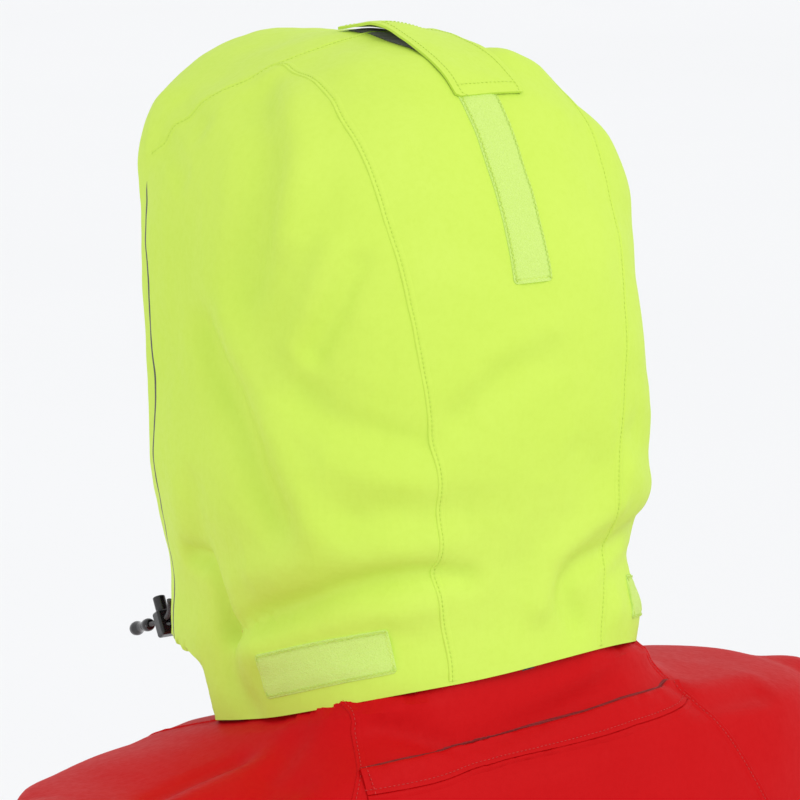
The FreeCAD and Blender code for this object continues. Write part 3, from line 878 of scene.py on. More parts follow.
# a seam's cross section: a raised lip, then the cloth stitched down beside it
LIP_ACROSS = [-0.35, 0.0, 0.4, 0.9, 1.5, 2.1, 3.0, 4.6, 5.6]
LIP_HEIGHTS = [-0.3, 0.55, 0.72, 0.58, 0.26, 0.12, 0.26, 0.18, -0.25]
LIP_RIPPLE = 0.3
STITCH_OFFSET, STITCH_LIFT = 2.1, 0.3
hood_stitch_lines = []
for title, sign in (("left", 1), ("right", -1)):
    path = seam_path(sign)
    inward_hint = (-sign, 0, 0)
    lip = strip_on(hood, "hood_seam_" + title, path, LIP_ACROSS, LIP_HEIGHTS, inward_hint, ripple=LIP_RIPPLE)
    place(lip, hood_cloth, slot="hood_yellow", angle=60)
    hood_stitch_lines.append(beside(hood, path, STITCH_OFFSET, STITCH_LIFT, inward_hint))


HEAD_MIDDLE = np.array([0.0, -70.0, 150.0])


def crown_line(field, turns):
    """The line where a field changes sign on the hood, found along arcs from front to back."""
    found = []
    for turn in turns:
        low, high = -1.2, 0.9
        for _ in range(26):
            half = 0.5 * (low + high)
            way = np.array([math.sin(turn), math.cos(turn) * math.sin(half), math.cos(turn) * math.cos(half)])
            hit = hood.shoot([HEAD_MIDDLE], [unit(way)])[0]
            if field(hit[None])[0] < 0:
                low = half
            else:
                high = half
        found.append(hit)
    return np.array(found)


visor_seam = crown_line(visor_side, np.linspace(-1.25, 1.25, 110))
VISOR_SEAM_END = 232.0
clear_of_edge = visor_seam[:, 1] > hood_edge(visor_seam[:, 2]) + 3
visor_seam = visor_seam[clear_of_edge & (visor_seam[:, 2] > VISOR_SEAM_END)]
visor_seam = smooth_line(visor_seam, 130)
lip = strip_on(hood, "hood_seam_visor", visor_seam, LIP_ACROSS, LIP_HEIGHTS, (0, 1, 0), ripple=LIP_RIPPLE)
place(lip, hood_cloth, slot="hood_yellow", angle=60)
hood_stitch_lines.append(beside(hood, visor_seam, STITCH_OFFSET, STITCH_LIFT, (0, 1, 0)))


stitches("hood_stitches", hood_stitch_lines, yellow_thread, "hood_yellow")


# ---------------------------------------------------------------- tapes, patches and tab on the hood
def spread(line, count):
    """Points on a line, closer together near its ends."""
    line = smooth_line(line, 400)
    share = 0.5 - 0.5 * np.cos(np.linspace(0, math.pi, count))
    at = np.linspace(0, 1, 400)
    return np.stack([np.interp(share, at, line[:, k]) for k in range(3)], 1)


TAPE_HALF, TAPE_CORNER, TAPE_BORDER = 12.5, 2.5, 1.5


def corner_cut(near_end, radius):
    """How much a strip narrows near its end, so that its corners are round."""
    round_in = radius - np.sqrt(np.maximum(radius ** 2 - (radius - near_end) ** 2, 0))
    return np.where(near_end < radius, round_in, 0)


def tape_patch(name, line, hint):
    """A piece of loop tape with round corners and a zigzag border."""
    half = TAPE_HALF
    line = spread(line, 60)
    at = np.concatenate([[0], np.cumsum(np.linalg.norm(np.diff(line, axis=0), axis=1))])
    cut = corner_cut(np.minimum(at, at[-1] - at), TAPE_CORNER)
    middle = np.linspace(-half + 1.8, half - 1.8, 9)
    across = np.concatenate([[-half, -half + 0.25], middle, [half - 0.25, half]])
    heights = [0.0, 0.55, 0.55] + [1.15] * 7 + [0.55, 0.55, 0.0]
    obj = strip_on(hood, name, line, across, heights, hint, narrow=1 - cut / half)
    place(obj, loop_tape, "jacket", [name], "loop_tape", angle=50)
    border = []
    for offset in (-half + TAPE_BORDER, half - TAPE_BORDER):
        border.append(beside(hood, line[4:-4], offset, 0.85, hint))
    spots, side = sideways(hood, line, hint)
    for end in (5, len(line) - 6):
        reach = np.linspace(-half + TAPE_BORDER, half - TAPE_BORDER, 20)
        border.append(hood.lay(spots[end] + side[end] * reach[:, None], np.full(20, 0.95)))
    zigzag = []
    for edge in border:
        edge = smooth_line(edge, max(6, int(np.linalg.norm(np.diff(edge, axis=0), axis=1).sum() / 1.4)))
        spots, side = sideways(hood, edge, hint)
        wobble = np.where(np.arange(len(edge)) % 2 == 0, 0.6, -0.6)[:, None]
        zigzag.append(hood.lay(spots + side * wobble, np.full(len(edge), 1.1)))
    stitches(name + "_stitches", zigzag, yellow_thread, "hood_yellow", "jacket", 1.15, 1.5, 0.36)


strip_points = []
for z in np.linspace(306, 201, 24):
    strip_points.append(hood.shoot([(0.0, 200.0, z)], (0, -1, 0))[0])
tape_patch("hood_loop_strip", np.array(strip_points), (1, 0, 0))


def patch_line(sign):
    """The middle line of a low side patch."""
    ends = np.array([(117.5, 5.5, -13.5), (100, 46, 1), (78.5, 70.5, 9.5)])
    ends = ends * (sign, 1, 1) + (0, 0, 0 if sign > 0 else 5.5)
    return hood.drop(smooth_line(ends, 20))[0]


tape_patch("hood_patch_left", patch_line(1), (0, 0, 1))
tape_patch("hood_patch_right", patch_line(-1), (0, 0, 1))


TAB_HALF, TAB_MIDDLE, TAB_THICK = 22.8, -8.5, 1.5
TAB_FRONT, TAB_HINGE, TAB_END = -74.0, -34.0, 38.0
TAB_ROWS, TAB_COLUMNS, TAB_ROOT_ROWS = 84, 25, 29


def crown_tab():
    """The tab sewn at the front of the crown: it arches up, then its end lies on the tape."""
    root_y = np.linspace(TAB_FRONT, TAB_HINGE, TAB_ROOT_ROWS + 1)[:-1]
    y = np.concatenate([root_y, np.linspace(TAB_HINGE, TAB_END, TAB_ROWS - TAB_ROOT_ROWS)])
    above = np.stack([np.full(TAB_ROWS, TAB_MIDDLE), y, np.full(TAB_ROWS, 420.0)], 1)
    spots, side = sideways(hood, hood.shoot(above, (0, 0, -1)), (1, 0, 0))
    arch = np.exp(-((y + 33) / 25.0) ** 2)
    across = np.linspace(-TAB_HALF, TAB_HALF, TAB_COLUMNS)
    at = np.concatenate([[0], np.cumsum(np.linalg.norm(np.diff(spots, axis=0), axis=1))])
    cut = corner_cut(at[-1] - at, 3.0) / TAB_HALF
    reach = across[None, :, None] * (1 - cut)[:, None, None]
    flat = (spots[:, None] + side[:, None] * reach).reshape(-1, 3)
    from_edge = TAB_HALF - np.abs(across)
    edge_roll = np.where(from_edge < 3.2, 0.25, 0.0) - 0.35 * (from_edge < 0.5)
    lifted = 3.2 + 3.6 * step(-0.9, 1.0, across / TAB_HALF)
    rise = (0.6 + arch[:, None] * lifted[None] + edge_roll[None]).ravel() + 0.25 * wave_noise(flat, 22, 11)
    top = hood.lay(flat, rise + TAB_THICK)
    low = hood.lay(flat, rise)
    return y, top.reshape(TAB_ROWS, TAB_COLUMNS, 3), low.reshape(TAB_ROWS, TAB_COLUMNS, 3)


tab_y, tab_top, tab_low = crown_tab()


def slab(name, top, low):
    """A closed sheet from two grids of points."""
    rows, columns = top.shape[:2]
    verts = np.concatenate([top.reshape(-1, 3), low.reshape(-1, 3)])
    count = rows * columns
    faces = grid_faces(rows, columns)
    faces += [tuple(count + i for i in reversed(f)) for f in grid_faces(rows, columns)]
    rim = list(range(columns)) + [r * columns + columns - 1 for r in range(1, rows)]
    rim += [(rows - 1) * columns + c for c in range(columns - 2, -1, -1)]
    rim += [r * columns for r in range(rows - 2, 0, -1)]
    for a, b in zip(rim, rim[1:] + rim[:1]):
        faces.append((b, a, count + a, count + b))
    return outward_faces(new_object(name, verts, faces))


HINGE_ROW = int(np.argmin(np.abs(tab_y - TAB_HINGE)))
root = slab("hood_tab_root", tab_top[:HINGE_ROW + 1], tab_low[:HINGE_ROW + 1])
place(root, hood_cloth, slot="hood_yellow", angle=50)
tab = slab("hood_tab", tab_top[HINGE_ROW:], tab_low[HINGE_ROW:])
place(tab, hood_cloth, "hood_tab", ["hood_tab"], "hood_yellow", angle=50)
tab_normals = np.cross(np.gradient(tab_top, axis=1), np.gradient(tab_top, axis=0))
tab_normals = unit(tab_normals) * np.sign(tab_normals[..., 2:3])
tab_over = tab_top + tab_normals * 0.22
rows_moving = slice(HINGE_ROW, None)
tab_lines = [tab_over[rows_moving, 2], tab_over[rows_moving, -3], tab_over[-5, 2:-2]]
stitches("hood_tab_stitches", tab_lines, yellow_thread, "hood_yellow", "hood_tab")
root_lines = [tab_over[2, 2:-2], tab_over[HINGE_ROW - 2, 2:-2]]
stitches("hood_tab_root_stitches", root_lines, yellow_thread, "hood_yellow")
under_tab = tab_low[5:64, 1:-1]


def laid_under_tab(lift):
    flat = under_tab.reshape(-1, 3)
    return hood.lay(flat, np.full(len(flat), lift)).reshape(under_tab.shape)


hook = slab("hood_tab_hook", laid_under_tab(0.5), laid_under_tab(0.1))
place(hook, dark_edge, slot="lining_dark", angle=50)


# ---------------------------------------------------------------- jacket form
HEM_Z = -800.0
FRONT_SLOPE = 0.0647
LEAN = math.atan(FRONT_SLOPE)


def front_y(z):
    """How far forward the leaning front stands at a height."""
    return -105.0 + FRONT_SLOPE * (z + 64.0)


def on_front(points):
    """From the flat front frame (across, depth, height) to the leaning front of the jacket."""
    x, y, s = np.asarray(points, float).reshape(-1, 3).T
    return np.stack([x, y * math.cos(LEAN) + s * math.sin(LEAN) + front_y(0.0),
                     s * math.cos(LEAN) - y * math.sin(LEAN)], 1)


# height, half width, how far back and how far forward
TORSO_ROWS = [(40, 116, 89, -60), (12, 116, 89, -60), (-22, 116, 91, -48), (-32, 126, 96, -42),
              (-38, 146, 101, -44), (-45, 185, 104, -53), (-54, 228, 108, -74.5), (-60, 242, 110, -91)]
for z, half, back in ((-66, 252, 111), (-90, 262, 117), (-150, 262, 126), (-225, 258, 131),
                      (-262, 236, 132), (-320, 231, 130), (-450, 229, 126), (-620, 231, 130),
                      (-800, 238, 138), (-815, 238, 138)):
    TORSO_ROWS.append((z, half, back, front_y(z)))
torso_rows = np.array(TORSO_ROWS, float)
torso_half, torso_back, torso_front = (Smooth(torso_rows[:, 0], torso_rows[:, k]) for k in (1, 2, 3))

ARM_WAY = np.array([math.sin(math.radians(25)), 0, -math.cos(math.radians(25))])
ARM_OUT = np.array([math.cos(math.radians(25)), 0, math.sin(math.radians(25))])
ARM_START = np.array([322.0, 6.0, -262.0])
SLEEVE_RUN, CUFF_LONG = 395.0, 58.0
SHOULDER = [((200, -62), (206, -240), 56), ((238, -57), (238, -254), 66), ((258, -59.5), (242, -258), 69),
            ((278, -67), (247, -262), 71), ((298, -83), (251, -267), 72), ((318, -109), (255, -273), 72),
            ((340, -151), (258, -281), 70)]


def lofted(name, rings):
    """A closed form through rings of points."""
    rings = np.asarray(rings, float)
    rows, columns = rings.shape[:2]
    faces = grid_faces(rows, columns, wrap_columns=True)
    faces.append(tuple(reversed(range(columns))))
    faces.append(tuple((rows - 1) * columns + c for c in range(columns)))
    return outward_faces(new_object(name, rings.reshape(-1, 3), faces))


def torso_rings():
    """Level rings from neck to hem, rounded like a worn coat's."""
    turn = np.linspace(0, 2 * math.pi, 160, endpoint=False)
    cosine, sine = np.cos(turn), np.sin(turn)
    levels = np.concatenate([np.arange(36, -70, -1.6), np.arange(-72, -814, -6.0)])
    rings = []
    for z in levels:
        half, back, front = float(torso_half(z)), float(torso_back(z)), float(torso_front(z))
        middle = 0.5 * (back + front)
        depth = np.where(sine > 0, back - middle, middle - front)
        x = half * np.sign(cosine) * np.abs(cosine) ** (2 / 2.6)
        y = middle + depth * np.sign(sine) * np.abs(sine) ** (2 / 2.6)
        rings.append(np.stack([x, y, np.full_like(x, z)], 1))
    return rings


def sleeve_rings(sign):
    """Rings from inside the shoulder, through it, and down the straight sleeve."""
    turn = np.linspace(0, 2 * math.pi, 96, endpoint=False)
    rings = []
    for (top_x, top_z), (low_x, low_z), deep in SHOULDER:
        top, low = np.array([top_x, 6.0, top_z]), np.array([low_x, 6.0, low_z])
        rings.append(((top + low) / 2, (top - low) / 2, deep))
    for run in np.linspace(0, SLEEVE_RUN + 12, 14):
        radius = 64 - 17 * run / SLEEVE_RUN
        rings.append((ARM_START + ARM_WAY * run, ARM_OUT * radius, radius * 1.04))
    centre = np.array([r[0] for r in rings])
    half = np.array([r[1] for r in rings])
    deep = np.array([r[2] for r in rings])
    at = np.concatenate([[0], np.cumsum(np.linalg.norm(np.diff(centre, axis=0), axis=1))])
    fine = np.linspace(0, at[-1], 90)
    centre = np.stack([Smooth(at, centre[:, k])(fine) for k in range(3)], 1)
    half = np.stack([Smooth(at, half[:, k])(fine) for k in range(3)], 1)
    deep = Smooth(at, deep)(fine)
    points = centre[:, None] + half[:, None] * np.cos(turn)[None, :, None]
    points[..., 1] += deep[:, None] * np.sin(turn)[None]
    return points * (sign, 1, 1)


def arm_run(p):
    """How far along the straight part of its sleeve a point is, for either side."""
    side = np.stack([np.abs(p[:, 0]), p[:, 1], p[:, 2]], 1)
    return (side - ARM_START) @ ARM_WAY


JACKET_FOLDS = [
    # left shoulder, by the hood
    (-3.2, 7, [(144, 23, -38), (168, 21, -42), (202, 27, -48)]),
    (2.4, 10, [(140, 40, -36), (172, 38, -41), (205, 44, -48)]),
    (-2.4, 8, [(119, 43, -26), (135, 48, -36), (173, 78, -49)]),
    (-2.2, 9, [(139, 72, -40), (171, 65, -45), (201, 55, -50)]),
    (-4.0, 7, [(91, 78, -20), (47, 98, -34), (-15, 97, -28), (-60, 94, -20)]),
    (2.4, 7, [(60, 92, -22), (20, 95, -19), (-40, 94, -14)]),
    (-2.6, 6, [(-70, 90, -14), (-96, 86, -26), (-108, 84, -34)]),
    (-1.8, 7, [(46, 104, -50), (-34, 106, -54)]),
    (-2.4, 8, [(-114, 93, -44), (-168, 82, -49)]),
    (2.0, 11, [(-120, 78, -40), (-176, 60, -47)]),
    # back: drag lines to the armpits and long soft drapes
    (-4.5, 18, [(228, 96, -215), (170, 124, -250), (95, 130, -300)]),
    (3.5, 20, [(222, 100, -250), (160, 128, -300), (90, 130, -360)]),
    (-4.5, 18, [(-228, 96, -215), (-165, 126, -262), (-90, 130, -318)]),
    (3.5, 20, [(-222, 100, -255), (-150, 128, -318), (-80, 130, -390)]),
    (-4.0, 22, [(60, 126, -330), (84, 128, -520), (70, 134, -790)]),
    (3.5, 26, [(15, 126, -360), (22, 128, -560), (8, 136, -790)]),
    (-4.0, 24, [(-58, 126, -380), (-44, 128, -560), (-66, 136, -790)]),
    (3.0, 24, [(-118, 122, -400), (-130, 124, -600), (-120, 132, -790)]),
    (3.0, 24, [(150, 114, -380), (136, 120, -560), (150, 126, -790)]),
    (-3.5, 20, [(196, 80, -420), (204, 82, -600), (200, 88, -790)]),
    (-3.5, 20, [(-200, 74, -440), (-196, 86, -620), (-206, 80, -790)]),
    # front: from the armpits down, clear of the zip and pockets
    (-4.0, 16, [(226, -70, -215), (180, -104, -262), (120, -118, -310)]),
    (3.0, 18, [(222, -78, -250), (170, -112, -310), (118, -124, -370)]),
    (-4.0, 16, [(-226, -70, -220), (-176, -106, -272), (-116, -120, -330)]),
    (3.0, 18, [(-222, -78, -255), (-165, -114, -325), (-112, -126, -390)]),
    (-3.0, 18, [(120, -122, -400), (100, -130, -470), (104, -132, -530)]),
    (-3.0, 18, [(-116, -122, -410), (-102, -130, -480), (-108, -132, -530)]),
    (-3.0, 16, [(210, -70, -440), (214, -72, -600), (208, -80, -790)]),
    (-3.0, 16, [(-212, -66, -450), (-208, -76, -610), (-212, -78, -790)]),
]


def sleeve_folds():
    """Slanting folds round each elbow, under the arm and above the cuff."""
    folds = []
    for sign in (-1, 1):
        for run, slant, phase, depth, width in ((70, 38, 0.4, -4.0, 12), (112, -30, 2.2, -4.0, 12),
                                                (236, 34, 1.1, -4.5, 12), (262, -34, 2.8, -4.0, 11),
                                                (292, 26, 4.4, -3.5, 11), (338, -22, 0.2, -3.0, 10),
                                                (366, 18, 2.6, -3.0, 9)):
            line = []
            for share in np.linspace(-1, 1, 7):
                turn = phase + share * 1.25 + (0 if sign > 0 else 0.7)
                radius = 64 - 17 * run / SLEEVE_RUN
                p = ARM_START + ARM_WAY * (run + slant * share)
                p = p + ARM_OUT * radius * math.cos(turn) + np.array([0, radius * 1.04 * math.sin(turn), 0])
                line.append(tuple(p * (sign, 1, 1)))
            folds.append((depth, width, line))
    return folds


REMESH_SIZE, RELAX_TURNS = 4.4, 9
LEFT_SLOPE = 6.5


def jacket_form():
    """Torso and sleeves as one skin: lofts joined by a voxel remesh, smoothed, then folded."""
    parts = [lofted("torso", torso_rings()), lofted("arm_left", sleeve_rings(1)),
             lofted("arm_right", sleeve_rings(-1))]
    form = joined("jacket_form", parts)
    remesh = form.modifiers.new("remesh", "REMESH")
    remesh.mode = "VOXEL"
    remesh.voxel_size = REMESH_SIZE * MM
    relax = form.modifiers.new("relax", "SMOOTH")
    relax.factor = 0.5
    relax.iterations = RELAX_TURNS
    finished(form)
    points = coords(form)
    faces = [list(p.vertices) for p in form.data.polygons]
    cloth = Cloth(points, faces)
    swell = np.zeros(len(points))
    for depth, width, line in JACKET_FOLDS + sleeve_folds():
        near = np.asarray(line, float)
        low, high = near.min(0) - 3 * width, near.max(0) + 3 * width
        part = np.all((points > low) & (points < high), axis=1)
        if part.any():
            swell[part] += folded(points[part], [(depth, width, line)])
    at_front = (points[:, 1] < 0) & (np.abs(points[:, 0]) < 250)
    calm = np.where(at_front, step(46, 66, np.abs(points[:, 0])), 1.0)
    pocket_room = (points[:, 2] < -525) & (points[:, 2] > -735) & at_front
    calm = np.where(pocket_room, calm * (1 - 0.8 * step(52, 64, np.abs(points[:, 0]))), calm)
    swell += 1.1 * wave_noise(points * (1, 1, 0.45), 120, 21) * step(60, 160, np.abs(points[:, 0]) + 60)
    swell += 0.5 * wave_noise(points, 46, 22)
    swell *= calm
    near_neck = step(0, 16, -neck_plane(points))
    swell *= 0.55 + 0.45 * near_neck
    points = points + cloth.normals * swell[:, None]
    hang = step(-112, -48, points[:, 2]) * (1 - step(190, 262, np.abs(points[:, 0])))
    points[:, 2] -= neck_sag(points) * hang
    sloped = step(105, 150, points[:, 0]) * (1 - step(200, 270, points[:, 0]))
    points[:, 2] -= LEFT_SLOPE * sloped * step(-130, -64, points[:, 2])
    corner = step(40, 80, np.abs(points[:, 0])) * step(-10, 25, points[:, 1])
    tucked = step(-7, -1, hood_hem(points)) * (3.2 + 5.0 * corner)
    points[:, 0] *= 1 - tucked / 118
    points[:, 1] -= (points[:, 1] - 10) * tucked / 85
    set_coords(form, points)
    return form, Cloth(points, faces)


jacket_base, jacket = jacket_form()
RAGLAN_Z = [-900, -262, -180, -104, -68, -53, -46, -36, -12, 12, 60]
raglan_left = Smooth(RAGLAN_Z, [243, 243, 200, 152, 128.5, 117, 110.5, 104, 98, 95, 95])
raglan_right = Smooth(RAGLAN_Z, [243, 243, 200, 152, 132, 121, 116, 109, 96, 93, 93])


def outside_raglan(p):
    """Positive on the sleeve side of the raglan seams."""
    return np.abs(p[:, 0]) - np.where(p[:, 0] > 0, raglan_left(p[:, 2]), raglan_right(p[:, 2]))


def open_ends(obj, neck_drop=0.0, hem_rise=0.0, wrist=0.0):
    """Cuts a closed form open at the neck, the hem and the wrists."""
    cut_where(obj, lambda p: hood_hem(p) + neck_drop)
    cut_where(obj, lambda p: HEM_Z + hem_rise - p[:, 2])
    return cut_where(obj, lambda p: np.minimum(arm_run(p) - SLEEVE_RUN + wrist, np.abs(p[:, 0]) - 400))


def front_gap(width):
    """Negative where the two fronts stand apart for the zip."""
    return lambda p: np.minimum(width - np.abs(p[:, 0]), -20 - p[:, 1])


LINING_GAP = 3.6
lining_base = new_object("lining", jacket.points - jacket.normals * LINING_GAP, jacket.faces)
open_ends(jacket_base, neck_drop=-3.0)
cut_where(jacket_base, front_gap(12.0))


def shell_piece(name, fields, nodes, source=None, finish=None, slot="shell_red", depth=1.2):
    """One sewn panel: the part of the jacket where every field is negative."""
    piece = copy_of(source or jacket_base, name)
    for field in fields:
        cut_where(piece, field)
    thick(piece, depth)
    return place(piece, finish or red_cloth, None, nodes, slot)


def on_sleeve(obj):
    """The piece crosses the shoulder; its transform is baked into its mesh."""
    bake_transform(obj)


SIDE_SEAM_Y = -4.0


def behind(p):
    """Negative on the back panels' side of the side seams."""
    return SIDE_SEAM_Y - p[:, 1]


def ahead(p):
    return -behind(p)


def below(height):
    return lambda p: p[:, 2] - height


def above(height):
    return lambda p: height - p[:, 2]


HEM_TOP = HEM_Z + 38
for name, fields in (("back_yoke", [outside_raglan, behind, above(-44)]),
                     ("back_panel", [outside_raglan, behind, below(-44), above(HEM_TOP)]),
                     ("front_left", [outside_raglan, ahead, lambda p: -p[:, 0], above(HEM_TOP)]),
                     ("front_right", [outside_raglan, ahead, lambda p: p[:, 0], above(HEM_TOP)]),
                     ("hem_band", [outside_raglan, below(HEM_TOP)])):
    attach(shell_piece(name, fields, [name]), "jacket")
for side, sign in (("left", 1), ("right", -1)):
    fields = [lambda p: -outside_raglan(p), lambda p, sign=sign: -sign * p[:, 0]]
    sleeve = shell_piece("sleeve_" + side, fields, ["sleeve_" + side, "shoulder_" + side])
    on_sleeve(sleeve)
bpy.data.objects.remove(jacket_base)

open_ends(lining_base, neck_drop=30.0, hem_rise=45.0, wrist=14.0)
cut_where(lining_base, front_gap(23.0))
body_lining = shell_piece("lining", [outside_raglan], ["lining"], lining_base, lining_cloth, "lining_dark",
                          0.8)
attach(body_lining, "jacket")
for side, sign in (("left", 1), ("right", -1)):
    fields = [lambda p: -outside_raglan(p), lambda p, sign=sign: -sign * p[:, 0]]
    inner = shell_piece("sleeve_lining_" + side, fields, [], lining_base, lining_cloth, "lining_dark", 0.8)
    on_sleeve(inner)
bpy.data.objects.remove(lining_base)


# ---------------------------------------------------------------- jacket seams
red_rows = []


def ridge(name, path, hint):
    """A lapped seam on the jacket, with its row of stitches to come."""
    strip = strip_on(jacket, name, path, LIP_ACROSS, LIP_HEIGHTS, hint, ripple=LIP_RIPPLE)
    place(strip, red_cloth, slot="shell_red", angle=60)
    red_rows.append(beside(jacket, path, STITCH_OFFSET, STITCH_LIFT, hint))


def raglan_path(sign, back):
    """A raglan seam from the neck to the armhole, on the back or the front."""
    points = []
    for z in np.linspace(20, -262, 190):
        y = 300.0 if back else -300.0
        seam_x = raglan_left(z) if sign > 0 else raglan_right(z)
        points.append(jacket.shoot([(sign * float(seam_x), y, z)], (0, -1 if back else 1, 0))[0])
    points = np.array(points)
    keep = (hood_hem(points) < 2.0) & (points[:, 1] > 0 if back else points[:, 1] < 0)
    return smooth_line(points[keep], 170)


raglan_back = {}
for side, sign in (("left", 1), ("right", -1)):
    raglan_back[side] = raglan_path(sign, True)
    ridge("raglan_seam_back_" + side, raglan_back[side], (-sign, 0, 0.2))
    ridge("raglan_seam_front_" + side, raglan_path(sign, False), (-sign, 0, 0.2))
    heights = np.linspace(-286, HEM_TOP - 1, 120)
    starts = np.array([(sign * 242.0, -4.0, z) for z in heights])
    ridge("side_seam_" + side, smooth_line(jacket.shoot(starts, (-sign, 0, 0)), 140), (0, 1, 0))
for height in (HEM_TOP - 3.5, HEM_TOP - 6.5, HEM_Z + 4):
    ring = []
    for turn in np.linspace(-math.pi / 2 + 0.13, 1.5 * math.pi - 0.13, 420):
        way = np.array([math.cos(turn), math.sin(turn), 0.0])
        ring.append(jacket.shoot([(0, 0, height)], [way])[0])
    red_rows.append(jacket.lay(np.array(ring), np.full(len(ring), 0.22)))


def back_welt():
    """The narrow welt across the back between the raglan seams, open along its top."""
    line = []
    for x in np.linspace(-117, 112, 120):
        z = -41.0 - 0.066 * (max(x, -60.0) + 50.0)
        line.append(jacket.shoot([(x, 300.0, z)], (0, -1, 0))[0])
    line = np.array(line)
    inside = outside_raglan(line) < -0.5
    line = smooth_line(line[inside], 130)
    across = [-8.6, -8.3, -6.8, -5.6, -4.2, -1, 3.0, 5.4, 6.8, 7.5, 7.5]
    heights = [-0.2, 1.0, 1.15, 0.6, 1.2, 1.7, 2.1, 2.4, 2.3, 1.4, -0.2]
    welt = strip_on(jacket, "back_welt", line, across, heights, hint=(0, 0, 1), ripple=0.16)
    place(welt, red_cloth, "jacket", ["back_welt"], "shell_red", angle=60)
    red_rows.append(beside(jacket, line, -5.6, 0.8, (0, 0, 1)))
    fold = strip_on(jacket, "back_welt_fold", line, [-13, -12, -10.6, -9.2, -8.2], [-0.2, 0.2, 0.7, 0.9, 0.1],
                    hint=(0, 0, 1), ripple=0.5)
    place(fold, red_cloth, "jacket", slot="shell_red", angle=60)
    # a dark strip inside the welt's open top: painted shade in the opening
    dark = strip_on(jacket, "back_welt_mouth", line, [7.2, 7.6, 8.9, 9.4], [0.1, 0.35, 0.35, 0.05],
                    hint=(0, 0, 1))
    place(dark, red_painted_shade, "jacket", slot="shell_red")
    spot, side = sideways(jacket, line, (0, 0, 1))
    for end in (2, len(line) - 3):
        bar = spot[end] + side[end] * np.linspace(-8, 7, 14)[:, None]
        red_rows.append(jacket.lay(bar, np.full(14, 2.5)))


back_welt()
stitches("jacket_stitches", red_rows, red_thread, "shell_red")


# ---------------------------------------------------------------- sleeves: bands, cuffs, tabs
def arm_point(sign, run, turn, radius):
    """A place beside a sleeve's middle line, a run down it and a turn round it."""
    p = ARM_START + ARM_WAY * run + ARM_OUT * radius * math.cos(turn)
    return (p + np.array([0, radius * 1.04 * math.sin(turn), 0])) * (sign, 1, 1)


def arm_grid(sign, runs, turns, height):
    """Points round the sleeve, a height above its cloth: height is a function of run and turn."""
    grid = np.zeros((len(runs), len(turns), 3))
    for i, run in enumerate(runs):
        centre = (ARM_START + ARM_WAY * run) * (sign, 1, 1)
        for j, turn in enumerate(turns):
            way = unit(arm_point(sign, run, turn, 1.0) - centre)
            if run <= SLEEVE_RUN - 2:
                base = jacket.shoot([centre], [way])[0]
            else:
                share = (run - SLEEVE_RUN) / CUFF_LONG
                base = arm_point(sign, run, turn, 47 - 6 * share)
            grid[i, j] = base + way * height(run, turn)
    return grid


def tube(name, outer, inner):
    """A closed ring from two grids that go all the way round."""
    rows, columns = outer.shape[:2]
    rings = np.concatenate([outer, inner[::-1]])
    faces = grid_faces(2 * rows, columns, wrap_columns=True, wrap_rows=True)
    return outward_faces(new_object(name, rings.reshape(-1, 3), faces))


def cuff_height(run, turn):
    """The cuff's gathered cloth: a step onto the sleeve, ripples, and a rolled end."""
    gather = 0.9 * math.sin(turn * 9 + 0.6 * math.sin(run / 9)) * (1 if run > SLEEVE_RUN + 4 else 0.3)
    rolled = -2.2 * max(0.0, (run - SLEEVE_RUN - CUFF_LONG + 4) / 4) ** 2
    step_up = 1.3 if run < SLEEVE_RUN + 10 else 0.5
    return step_up + gather * 0.7 + rolled


BAND_START, BAND_END = 150.0, 200.0


def band_height(run, turn):
    """The reflective band lies flat, with thin edges."""
    return 0.75 if BAND_START + 0.5 < run < BAND_END - 0.5 else 0.2


def cuff_tab_height(sign, lift):
    """The tab's height above the cuff: nearly even, with a slow ripple."""
    return lambda run, turn: 1.5 + lift + 0.5 * math.sin(turn * 5 + sign)


def rounded_end(grid, turns):
    """Draws a cuff tab's free end in, so that its corners are round."""
    for j, turn in enumerate(turns):
        near_end = max(0.0, (math.degrees(turn) - 78) / 10)
        pinch = 1 - 0.35 * (1 - math.sqrt(max(1 - near_end ** 2, 0)))
        centre = grid[:, j].mean(0)
        grid[:, j] = centre + (grid[:, j] - centre) * pinch
    return grid


